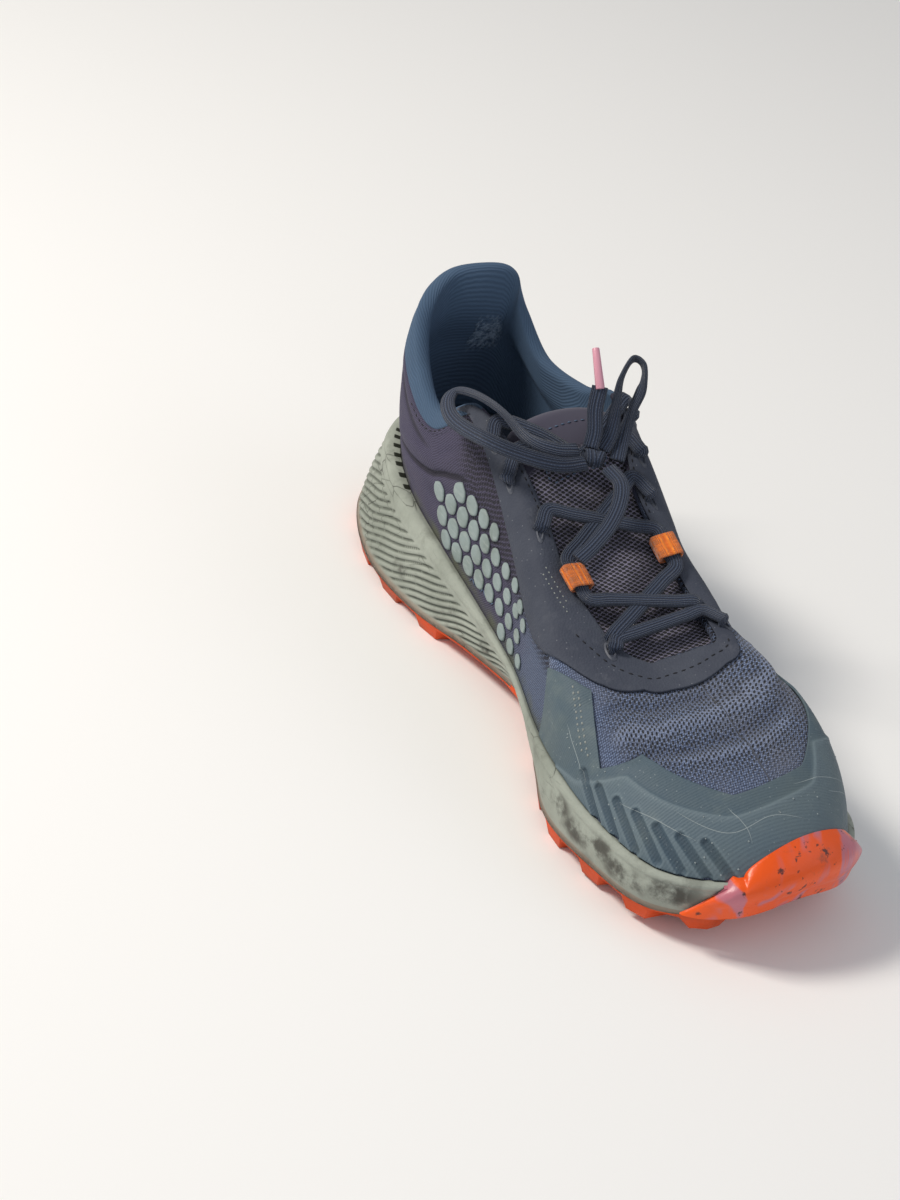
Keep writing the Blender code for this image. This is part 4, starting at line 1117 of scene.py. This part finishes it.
# moulded rubber with a marbled second colour: vivid orange with mauve swirls, rubbed and nicked
bumperLook, tree, shader = newMaterial("marbled moulded rubber", Roughness=0.34, Specular_IOR_Level=0.5)
solid = solidOf(tree)
stretched = mapped(tree, solid, Rotation=(0.3, 0.2, 0.5), Scale=(1.0, 0.45, 0.55))
swirl = noise(tree, stretched, 58.0, 2.5, Distortion=1.6)
base = mixed(tree, levels(tree, swirl, 0.50, 0.60), "#ee5607", "#c0707e")
base = tinted(tree, base, grime(tree, solid, 210, 0.60, 0.66, 5), 0.9, "#2e1c1a")
base = tinted(tree, base, grime(tree, solid, 110, 0.58, 0.72, 8), 0.55, "#5c3a30")
nicks = noise(tree, solid, 260.0, 6.0)
dressed(tree, shader, base, nicks, 0.0003)

bm = bmesh.new()
gridInto(bm, bumper["columns"], 2 * (bumper["wallRows"] + bumper["skinRows"] + 1), bumperPlace)
sealed(bm)
bumperPiece = finishMesh(bm, "toe_bumper_rubber", [bumperLook], 50)
publish(bumperPiece, "outsole_rubber", "toe_bumper")

print("tongue")
tongue = {"front": 10.3, "back": 5.7, "root": 0.86, "arch": 0.30, "dip": 0.0025, "clear": 0.0014, "thick": 0.004,
          "reach": 0.005, "past": 0.08, "puff": 0.0008, "columns": 96, "rows": 130}


def tongueSurface(q, w, sink):
    u = tongue["front"] + (tongue["back"] - tongue["front"]) * q
    lifted = blend(0.0, 0.35, q)
    sink = sink + tongue["dip"] * (1 - lifted)
    ends = []
    for place in (u, 24 - u):
        hidden = -wallAt(place) - tongue["clear"] - sink
        base = upperSkin(place, np.full(len(place), tongue["root"]), hidden)
        ahead = upperSkin(place, np.ones(len(place)), hidden) - base
        ends.append((base, unit(ahead)))
    (outer, outerWay), (inner, innerWay) = ends
    reach = (np.linalg.norm(inner - outer, axis=1) * tongue["arch"] * lifted)[:, None]
    t = w[:, None]
    return bezier(t, outer, outer + outerWay * reach, inner + innerWay * reach, inner)


def tonguePlace(s, t):
    around = s * 2 % 2
    w = np.where(around < 1, around, 2 - around)
    w = 0.5 - 0.5 * np.cos(np.pi * w)
    under = around > 1
    along = t * (1 + tongue["past"])
    q = np.clip(along, 0, 1)
    beyond = np.clip((along - 1) / tongue["past"], 0, 1)
    edge = (1 - (2 * w - 1)**8)**0.5 * np.sqrt(np.clip(1 - beyond**3, 0, 1))
    puff = tongue["puff"] * edge * (1 + 0.8 * blend(0.75, 0.9, q))
    mid = tongue["thick"] / 2
    sink = np.where(under, mid + mid * edge, mid - mid * edge - puff * edge)
    points = tongueSurface(q, w, sink)
    sides = np.array([0.3, 0.7])
    way = unit((tongueSurface(np.ones(2), sides, mid) - tongueSurface(np.full(2, 0.95), sides, mid)).mean(0))
    centre = tongueSurface(np.ones(1), np.array([0.5]), np.array([mid]))
    rounded = centre + (points - centre) * (1 - 0.1 * beyond)[:, None] + way * (tongue["reach"] * beyond)[:, None]
    points = np.where((beyond > 0)[:, None], rounded, points)
    return world(points)


def tongueCloth(s, t):
    points = tonguePlace(s, t)
    return np.stack([points[:, 0], points[:, 1] * 1.25], -1)


# padded mesh tongue: coarse purple grey sandwich mesh whose open cells are painted near black as shade
tongueLook, tree, shader = newMaterial("sandwich mesh over foam", Roughness=0.9, Sheen_Weight=0.25,
                                       Sheen_Roughness=0.5)
cloth = clothOf(tree)
solid = solidOf(tree)
along = marked(tree, "along")
net = levels(tree, staggered(tree, cloth, 0.0021, 0.0016, 8, 0.1), 0.50, 0.32)
net = times(tree, net, levels(tree, along, 0.82, 0.80))
threads = mixed(tree, grime(tree, solid, 120, 0.3, 0.7), "#86829a", "#67647a")
threads = mixed(tree, levels(tree, along, 0.80, 0.82), threads, "#3f3d4f")
# painted shade: the open cells are coloured near black
threads = mixed(tree, net, threads, "#14131c")
dressed(tree, shader, threads, times(tree, net, -1.0), 0.0006)

bm = bmesh.new()
gridInto(bm, tongue["columns"], tongue["rows"], tonguePlace, tongueCloth, {"along": lambda s, t, points: t})
sealed(bm, 1e-5)
tonguePiece = finishMesh(bm, "tongue_mesh", [tongueLook])
publish(tonguePiece, "tongue_mesh", "tongue")

# die cut foam footbed with a needle felt cover: dark navy and fibrous
footbedLook, tree, shader = newMaterial("needle felt footbed cover", Roughness=0.95, Sheen_Weight=0.4)
solid = solidOf(tree)
fibres = noise(tree, solid, 700.0, 6.0)
dressed(tree, shader, mixed(tree, fibres, "#2c3646", "#46505f"), fibres, 0.0004)
insole = frame["nodes"]["insole"]
insole.data.materials.clear()
insole.data.materials.append(footbedLook)

print("laces")
lace = {"width": 0.0064, "thick": 0.0024, "clear": 0.0011, "freeWidth": 0.0062, "freeThick": 0.0020,
        "step": 0.0008, "sides": 18, "grooves": 0.00012, "leastCord": 0.033, "dip": 0.0060,
        "crossings": {
            "front": [(9.1, 14.7, 0.95, 0.92, 0.0), (9.0, 15.6, 1.0, 1.0, 0.0), (8.4, 14.9, 1.0, 1.0, 0.0)],
            "middle": [(7.8, 17.0, 1.0, 0.90, 0.0), (7.0, 16.2, 0.90, 1.0, 0.0)],
            "top": [(6.0, 17.6, 0.84, 0.90, 0.006), (5.5, 18.3, 0.90, 0.92, 0.022)]}}


loops = {"stations": {"webbing_loop_outer": 8.1, "webbing_loop_inner": 15.9}, "width": 0.0100, "height": 0.0050,
         "thick": 0.0010, "near": 0.5}


def insideLoop(u):
    # a place within the webbing loop that a lace end at station u runs into
    station = min(loops["stations"].values(), key=lambda x: abs(x - u))
    if abs(station - u) > loops["near"]:  # it slips under the throat's edge instead
        spot, one = np.array([u]), np.ones(1)
        return world(upperSkin(spot, one * 0.97, -wallAt(spot) - lace["thick"]))[0], worldNormal(spot, one)[0]
    spot, one = np.array([station + 0.05 * np.sign(u - station)]), np.ones(1)
    rise = onFilm + last["gap"] + loops["height"] / 2
    return world(upperSkin(spot, one, rise))[0], worldNormal(spot, one)[0]


def strandLine(outerU, innerU, outerV, innerV, pull):
    over = onFilm + lace["clear"] + lace["thick"] / 2
    start = [(outerU, outerV), (outerU, 1.0)] if outerV < 1 else [(outerU, 1.0)]
    end = [(innerU, 1.0), (innerU, innerV)] if innerV < 1 else [(innerU, 1.0)]
    one = lambda u, v: upperSkin(np.array([u]), np.array([v]), over)[0]
    face = lambda u, v: upperNormal(np.array([u]), np.array([v]))[0]
    line = [one(u, v) for u, v in start]
    faces = [face(u, v) for u, v in start]
    edge, nearFace = line[-1], faces[-1]
    farEdge, farFace = one(*end[0]), face(*end[0])
    spine = tongueSurface(np.array([0.0, 1.0]), np.array([0.5, 0.5]), np.zeros(2))
    span = spine[0, 1] - spine[1, 1]
    outerQ = (outerU - tongue["front"]) / (tongue["back"] - tongue["front"])
    innerQ = (24 - innerU - tongue["front"]) / (tongue["back"] - tongue["front"])
    for w in (0.2, 0.35, 0.5, 0.65, 0.8):
        bend = 1 - abs(2 * w - 1)
        shift = pull * bend
        q = np.clip(outerQ + (innerQ - outerQ) * w - shift / span, 0, 1)
        cover = tongueSurface(np.array([q]), np.array([w]), np.zeros(1))[0, 2] + over
        point = edge + (farEdge - edge) * w
        point[1] += shift
        point[2] = max(point[2] - shift * bend / 2, cover)
        line.append(point)
        faces.append(nearFace * (1 - w) + farFace * w)
    line += [one(u, v) for u, v in end]
    faces += [face(u, v) for u, v in end]
    return world(np.array(line)), np.array(faces) * [1, -1, 1], outerV < 1, innerV < 1


def ribbon(bm, line, faces, width, thick):
    # a flat oval lace along a line, whose broad side looks along faces
    length = runOf(line)[-1]
    count = max(8, int(length / lace["step"]))
    fine = smoothLine(line, count + 1)
    looks = smoothLine(faces, count + 1)
    ahead = unit(np.gradient(fine, axis=0))
    side = unit(np.cross(ahead, looks))
    up = np.cross(side, ahead)

    def place(s, t):
        k = np.round(s * count).astype(int)
        angle = t * 2 * np.pi
        x = np.sign(np.cos(angle)) * np.abs(np.cos(angle))**0.8
        y = np.sign(np.sin(angle)) * np.abs(np.sin(angle))**0.6
        grooves = -lace["grooves"] * (0.5 + 0.5 * np.cos(x * np.pi * 5)) * (np.abs(y) > 0.5)
        return fine[k] + side[k] * (x * width / 2)[:, None] + up[k] * (y * thick / 2 + np.sign(y) * grooves)[:, None]

    def cloth(s, t):
        return np.stack([s * length, t * 2 * (width + thick) * 0.86], -1)

    gridInto(bm, count, lace["sides"], place, cloth)
    return fine


# braided polyester lace: dark navy, round ribs along it, pale picks between them, limp and matt
laceLook, tree, shader = newMaterial("braided polyester lace", Roughness=0.8, Sheen_Weight=0.12, Sheen_Roughness=0.4)
cloth = clothOf(tree)
solid = solidOf(tree)
cords = wave(tree, cloth, 430.0, 0.35, "Y")
picks = levels(tree, staggered(tree, cloth, 0.0009, 0.0006, 0, 0.3), 0.36, 0.14)
flecks = times(tree, picks, levels(tree, cords, 0.3, 0.8))
base = mixed(tree, cords, "#1a2233", "#364259")
base = tinted(tree, base, flecks, 0.4, "#66738a")
base = tinted(tree, base, grime(tree, solid, 130, 0.55, 0.8, 8), 0.3, "#56595c")
dressed(tree, shader, base, worked(tree, "ADD", cords, times(tree, flecks, 0.4)), 0.0004)

for name, strands in lace["crossings"].items():
    bm = bmesh.new()
    for strand in strands:
        line, faces, *dips = strandLine(*strand)
        for end, dip in enumerate(dips):
            if end:
                line, faces = line[::-1], faces[::-1]
            ahead = line[0] - line[1]
            if dip:  # down through the eyelet
                line = np.vstack([line[0] - faces[0] * lace["dip"] + ahead * 0.16, line[0] + ahead * 0.12, line])
                faces = np.vstack([faces[0], faces[0], faces])
            else:
                spot, face = insideLoop(strand[end])
                line, faces = np.vstack([spot, line]), np.vstack([face, faces])
            if end:
                line, faces = line[::-1], faces[::-1]
        ribbon(bm, line, faces, lace["width"] * 0.95, lace["thick"])
    sealed(bm)
    crossing = finishMesh(bm, "lace_over_tongue_" + name, [laceLook])
    publish(crossing, "lace", "lace_crossing_" + name)

knotShape = {"points": [(-2, 22.8, 96.7), (1, 21.4, 96.7), (5, 19, 96.2)],
             "wraps": ((-0.0012, 0.0030, 0.25), (0.0016, 0.0028, -0.2)),
             "high": 0.0009, "wide": 0.0026, "lean": 0.004, "squash": 0.92, "core": 0.0031, "long": 1.35}
cordRoutes = {
    "bow_outer": [(-5, 24.2, 99), (-16, 22, 102), (-25, 28, 104), (-29, 44, 107), (-32, 58, 106), (-36, 68, 103),
                  (-42, 63, 101), (-45, 50, 101), (-42, 31, 104), (-31, 21, 102), (-17, 16, 99), (-3.8, 18.9, 96.4)],
    "bow_inner": [(4.9, 22.3, 99.4), (9, 25, 105), (12, 30, 114), (15, 35, 122), (21, 39, 128), (24, 35, 127),
                  (22, 30, 121), (19, 29, 111), (14, 24, 102), (9.6, 18.2, 96.6)],
    "end_inner": [(0, 23.2, 100.4), (2, 25.8, 106), (3, 30, 113), (5, 33, 121)],
    "end_outer": [(5.0, 15.9, 95.1), (6, 7, 93.5), (2, -1, 90), (-6, -9, 86), (-16, -16, 83), (-23, -19, 80)]}
faceHints = {"bow_outer": (-0.35, -0.75, 1.0), "bow_inner": (-0.6, -0.9, 0.45), "end_inner": (-0.6, -0.9, 0.3),
             "end_outer": (-0.4, -0.5, 1.0)}
turned = {"bow_outer": 0.62, "bow_inner": 0.75}

made = {}
for name, route in cordRoutes.items():
    line = np.array(route, float) / 1000
    bm = bmesh.new()
    faces = np.tile(np.array(faceHints[name]), (len(line), 1))
    if name in turned:
        # a bow lies flat at the knot and stands on its edge where it turns back
        ahead = unit(np.gradient(line, axis=0))
        inPlane = unit(np.cross(ahead, faces))
        weight = turned[name] * np.sin(np.pi * np.linspace(0, 1, len(line)))[:, None]**1.5
        faces = faces / np.linalg.norm(faces[0]) * (1 - weight) + inPlane * weight
    fine = ribbon(bm, line, faces, lace["freeWidth"], lace["freeThick"])
    sealed(bm)
    piece = finishMesh(bm, "lace_" + name + "_braid", [laceLook])
    publish(piece, "lace", "lace_" + name)
    made[name] = (piece, fine)

# the knot: two wraps round a core
start, centre, end = np.array(knotShape["points"]) / 1000
axis = unit(end - start)
bm = bmesh.new()
acrossKnot = unit(np.cross(axis, [0, 0, 1.0]))
upKnot = np.cross(acrossKnot, axis)
for shift, size, lean in knotShape["wraps"]:
    def wrapPlace(s, t, shift=shift, size=size, lean=lean):
        angle, roll = s * 2 * np.pi, t * 2 * np.pi
        out = np.cos(angle)[:, None] * acrossKnot + np.sin(angle)[:, None] * upKnot
        out = out * (size + knotShape["high"] * np.cos(roll))[:, None] * [1, 1, knotShape["squash"]]
        slide = knotShape["wide"] * np.sin(roll) + lean * knotShape["lean"] * np.cos(angle)
        return centre + axis * shift + out + axis * slide[:, None]
    gridInto(bm, 60, 16, wrapPlace, lambda s, t: np.stack([s * 0.019, t * 0.009], -1))
weld(bm)
core = bmesh.ops.create_uvsphere(bm, u_segments=20, v_segments=12, radius=knotShape["core"])
for vert in core["verts"]:
    vert.co = Vector(centre + axis * vert.co.x * knotShape["long"] + acrossKnot * vert.co.y + upKnot * vert.co.z)
knot = finishMesh(bm, "lace_knot_wraps", [laceLook])
publish(knot, "lace", "lace_knot")

tipShape = {"line": [(4.8, 32.2, 120.2), (6, 43, 132)], "foot": 0.0018, "top": 0.0014, "bevel": 0.0004}

# injection moulded lace tip: clear pink plastic, glossy
tipLook, _, _ = newMaterial("clear pink moulded tip", Base_Color="#e0a0b2", Roughness=0.25,
                            Transmission_Weight=0.15)
bm = bmesh.new()
tipLine = np.array(tipShape["line"]) / 1000
tipWay = Vector(tipLine[1] - tipLine[0])
turn = tipWay.to_track_quat("Z", "Y").to_matrix().to_4x4()
bmesh.ops.create_cone(bm, cap_ends=True, segments=24, radius1=tipShape["foot"], radius2=tipShape["top"],
                      depth=tipWay.length, matrix=Matrix.Translation(Vector(tipLine.mean(0))) @ turn)
rounded(bm, [edge for edge in bm.edges if edge.calc_face_angle(0) > 1], tipShape["bevel"])
tip = finishMesh(bm, "lace_tip", [tipLook], 40)
publish(tip, "aglet", "aglet")

for name, (piece, fine) in made.items():
    length = float(runOf(fine)[-1])
    print("cord", name, round(length * 1000), "mm")

print("stitches")


def surfaceLine(path, count, lift):
    route = np.array(path, float)
    share, fine = np.linspace(0, 1, len(route)), np.linspace(0, 1, count)
    u, v = np.interp(fine, share, route[:, 0]), np.interp(fine, share, route[:, 1])
    return world(upperSurface(u, v, lift)), worldNormal(u, v)


def sewn(bm, points, normals, length, gap, width, zigzag=0.0):
    # one small capsule for each stitch along the line
    run = runOf(points)
    for k, begin in enumerate(np.arange(0, run[-1] - length, length + gap)):
        ends = [np.array([np.interp(x, run, points[:, axis]) for axis in range(3)]) for x in (begin, begin + length)]
        up = np.array([np.interp(begin, run, normals[:, axis]) for axis in range(3)])
        swing = np.cross(unit(ends[1] - ends[0]), up) * zigzag * (1 if k % 2 else -1)
        ends = [ends[0] - swing, ends[1] + swing]
        way = ends[1] - ends[0]
        side = unit(np.cross(way, up))
        middleOf = (ends[0] + ends[1]) / 2
        matrix = Matrix([[way[i] * 0.5, side[i] * width / 2, up[i] * width * 0.35, middleOf[i]] for i in range(3)]
                        + [[0, 0, 0, 1]])
        bmesh.ops.create_icosphere(bm, subdivisions=1, radius=1, matrix=matrix)


stitches = {
    "dark": {"colour": "#15161f", "rows": [
        ([(8.35, 0.78), (8.7, 0.825), (9.2, 0.87), (9.85, 0.898), (11.2, 0.918), (12.45, 0.928), (13.75, 0.945),
          (14.3, 0.935)], 0.0022, 0.0013, 0.0008, 0),
        ([(5.3, 0.955), (6.4, 0.95), (7.4, 0.95)], 0.0020, 0.0012, 0.0007, 0),
        ([(16.6, 0.95), (17.6, 0.955), (18.6, 0.96)], 0.0020, 0.0012, 0.0007, 0),
        ([(3.2, 0.84), (3.8, 0.865), (4.4, 0.875), (5.0, 0.93)], 0.0020, 0.0014, 0.0006, 0)]},
    "pale": {"colour": "#9aa09c", "rows": [
        ([(8.36, 0.52), (8.46, 0.38), (8.60, 0.25)], 0.0013, 0.0012, 0.0009, 0),
        ([(8.48, 0.53), (8.58, 0.40), (8.72, 0.27)], 0.0013, 0.0012, 0.0009, 0),
        ([(7.35, 0.80), (7.75, 0.84), (8.15, 0.865)], 0.0010, 0.0012, 0.0007, 0),
        ([(7.30, 0.75), (7.75, 0.79), (8.20, 0.825)], 0.0010, 0.0012, 0.0007, 0)]},
    "blue": {"colour": "#5f7390", "rows": [
        ([(4.75, 0.08), (5.1, 0.12), (5.45, 0.14)], 0.0024, 0.0, 0.0006, 0.0012)]}}

for name, thread in stitches.items():
    # twisted polyester sewing thread, matt
    threadLook, tree, shader = newMaterial("twisted sewing thread " + name, Roughness=0.8)
    solid = solidOf(tree)
    twist = noise(tree, solid, 1500.0, 2.0)
    tone = hexColour(thread["colour"])
    tree.links.new(mixed(tree, twist, tone, tuple(c * 0.6 for c in tone[:3]) + (1,)), shader.inputs["Base Color"])
    bm = bmesh.new()
    for path, length, gap, width, zigzag in thread["rows"]:
        points, normals = surfaceLine(path, 120, 0.0003 if name == "blue" else onFilm)
        sewn(bm, points, normals, length, gap, width, zigzag)
    publish(finishMesh(bm, "stitches_" + name, [threadLook]), "eyestay_film")

# eyelets: a pressed rim round a hole painted near black as shade
eyelets = {"places": [(5.5, 0.872), (6.0, 0.812), (7.0, 0.872), (9.05, 0.922), (14.75, 0.895), (17.0, 0.875),
                      (17.6, 0.875), (18.3, 0.895)],
           "radius": 0.0036, "hole": 0.52, "rim": 0.00055, "depth": 0.0009}

# pressed synthetic rim, slightly shiny with wear, with painted shade black inside the hole
eyeletLook, tree, shader = newMaterial("pressed eyelet rim", Roughness=0.55)
inHole = marked(tree, "hole")
solid = solidOf(tree)
rim = mixed(tree, grime(tree, solid, 300, 0.4, 0.7), "#3f4450", "#5c606a")
# painted shade: the hole is coloured near black
tree.links.new(mixed(tree, inHole, rim, "#06070a"), shader.inputs["Base Color"])


def holeMark(s, t, points):
    return 1 - blend(eyelets["hole"] - 0.08, eyelets["hole"], t)


bm = bmesh.new()
for u0, v0 in eyelets["places"]:
    def ringPlace(s, t, u0=u0, v0=v0):
        angle = s * 2 * np.pi
        stepU, stepV = localSteps(u0, v0)
        u = u0 + t * eyelets["radius"] * np.cos(angle) / stepU
        v = v0 + t * eyelets["radius"] * np.sin(angle) / stepV
        sink = eyelets["depth"] * (1 - blend(0.38, eyelets["hole"], t))
        rise = eyelets["rim"] * np.exp(-((t - 0.72) / 0.16)**2) - sink
        return world(upperSurface(u, np.minimum(v, 1.0), onFilm + 0.0001 + rise))
    gridInto(bm, 40, 14, ringPlace, None, {"hole": holeMark})
weld(bm)
publish(finishMesh(bm, "eyelet_rims", [eyeletLook]), "eyestay_film")

# thin pale hair scratches and a few grains of dirt on the toe
scratches = {"lines": [[(10.2, 0.30), (10.9, 0.22), (11.6, 0.26), (12.2, 0.20)],
                       [(12.9, 0.28), (13.5, 0.20), (13.9, 0.10)],
                       [(12.2, 0.36), (12.9, 0.34), (13.6, 0.24), (13.8, 0.14)],
                       [(9.3, 0.20), (9.9, 0.23), (10.5, 0.18)],
                       [(11.0, 0.33), (11.2, 0.24), (11.25, 0.16)], [(13.6, 0.44), (14.2, 0.34), (14.5, 0.22)],
                       [(8.2, 0.30), (8.5, 0.20), (8.7, 0.10)]], "width": 0.00028, "grains": 46}

# scuffed film, where the colour has gone pale
scratchLook, _, _ = newMaterial("scuffed pale film", Base_Color="#8c979a", Roughness=0.7)
bm = bmesh.new()
lift = onFilm + 0.00004
for line in scratches["lines"]:
    route = smoothLine(np.array([(u, v, 0) for u, v in line]), 60)
    u, v = route[:, 0], route[:, 1]
    points = world(upperSurface(u, v, lift + toeRelief(u, v)))
    normals = worldNormal(u, v)
    side = unit(np.cross(np.gradient(points, axis=0), normals))

    def scratchPlace(s, t, points=points, side=side):
        k = np.round(s * 59).astype(int)
        return points[k] + side[k] * ((t - 0.5) * scratches["width"] * (1 - np.abs(2 * s - 1)**4))[:, None]
    gridInto(bm, 59, 1, scratchPlace)
spread = np.random.default_rng(7)
for k in range(scratches["grains"]):
    u0, v0 = np.array([spread.uniform(8.2, 15.2)]), np.array([spread.uniform(0.04, 0.30)])
    spot = world(upperSurface(u0, v0, lift + toeRelief(u0, v0)))[0]
    size = spread.uniform(0.00015, 0.00045)
    bmesh.ops.create_icosphere(bm, subdivisions=1, radius=size, matrix=Matrix.Translation(Vector(spot)))
publish(finishMesh(bm, "toe_scratches", [scratchLook]), "toe_film")

# the tongue's sewn top panel and its small folded tab
label = {"q": (0.80, 0.965), "w": (0.30, 0.70), "tabQ": 0.835, "tabW": 0.46, "tab": (0.0034, 0.0030, 0.0012),
         "bevel": 0.0003, "lift": -0.00165, "tabLift": -0.0018}
bm = bmesh.new()
(q0, q1), (w0, w1) = label["q"], label["w"]
loopQ = [q0, q0, q0 + 0.02, q1 - 0.03, q1, q1, q1 - 0.03, q0 + 0.02, q0]
loopW = [w0 + 0.03, w1 - 0.03, w1, w1, w1 - 0.06, w0 + 0.06, w0, w0, w0 + 0.03]
share, fine = np.linspace(0, 1, len(loopQ)), np.linspace(0, 1, 240)
q, w = np.interp(fine, share, loopQ), np.interp(fine, share, loopW)
raised = np.full(240, label["lift"])
lineTop = world(tongueSurface(q, w, raised))
aheadOf = world(tongueSurface(q + 0.01, w, raised)) - lineTop
acrossOf = world(tongueSurface(q, w + 0.01, raised)) - lineTop
faces = unit(np.cross(aheadOf, acrossOf))
faces *= np.sign(faces[:, 2:3])
sewn(bm, lineTop, faces, 0.0020, 0.0010, 0.0007)
publish(finishMesh(bm, "tongue_stitches", [threadLook]), "tongue_mesh")

print("webbing")

# woven polyester webbing: bright orange, ribbed across, slightly fuzzy
webbingLook, tree, shader = newMaterial("woven polyester webbing", Roughness=0.75, Sheen_Weight=0.3)
cloth = clothOf(tree)
ribsAcross = wave(tree, cloth, 440.0, 0.4, "X")
weft = levels(tree, staggered(tree, cloth, 0.0005, 0.0009, 0, 0.2), 0.1, 0.5)
threads = mixed(tree, ribsAcross, "#d96400", "#ff8d1a")
threads = tinted(tree, threads, weft, 0.35, "#b04e04")
dressed(tree, shader, threads, worked(tree, "SUBTRACT", ribsAcross, times(tree, weft, 0.5)), 0.0003)

for name, u0 in loops["stations"].items():
    u0 = np.array([u0])
    base = upperSkin(u0, np.ones(1), onFilm + last["gap"])[0]
    normal = upperNormal(u0, np.ones(1))[0]
    ahead = unit((upperSkin(u0 + 0.05, np.ones(1), 0.0) - upperSkin(u0 - 0.05, np.ones(1), 0.0))[0])
    across = np.cross(ahead, normal)
    centre = base + normal * loops["height"] / 2

    def loopPlace(s, t):
        # s goes round the loop, t round its own flat section
        angle, section = s * 2 * np.pi, t * 2 * np.pi
        thin = (0.5 + 0.5 * np.sign(np.cos(section)) * np.abs(np.cos(section))**0.3) * loops["thick"]
        wide = np.sign(np.sin(section)) * np.abs(np.sin(section))**0.3 * loops["width"] / 2
        x = np.sign(np.cos(angle)) * np.abs(np.cos(angle))**0.5 * (loops["width"] / 2 - loops["thick"] + thin)
        y = np.sign(np.sin(angle)) * np.abs(np.sin(angle))**0.4 * (loops["height"] / 2 - loops["thick"] + thin)
        return world(centre + across * x[:, None] + normal * y[:, None] + ahead * wide[:, None])

    bm = bmesh.new()
    gridInto(bm, 72, 20, loopPlace, lambda s, t: np.stack([s * 0.026, t * 0.022], -1))
    weld(bm)
    loopPiece = finishMesh(bm, name + "_weave", [webbingLook])
    publish(loopPiece, "webbing", name)

# folded webbing tab at the foot of the tongue's top panel
bm = bmesh.new()
q0, w0 = np.array([label["tabQ"]]), np.array([label["tabW"]])
lifted = np.array([label["tabLift"]])
spot = world(tongueSurface(q0, w0, lifted))[0]
ahead = unit(world(tongueSurface(q0 + 0.02, w0, lifted))[0] - spot)
across = world(tongueSurface(q0, w0 + 0.02, lifted))[0] - spot
across -= ahead * (across @ ahead)
across = unit(across)
up = np.cross(ahead, across)
up *= np.sign(up[2])
long, wide, thick = label["tab"]
matrix = Matrix([[ahead[i] * long, across[i] * wide, up[i] * thick, spot[i]] for i in range(3)] + [[0, 0, 0, 1]])
bmesh.ops.create_cube(bm, size=1, matrix=matrix)
rounded(bm, list(bm.edges), label["bevel"])
publish(finishMesh(bm, "tongue_tab", [webbingLook], 40), "webbing")
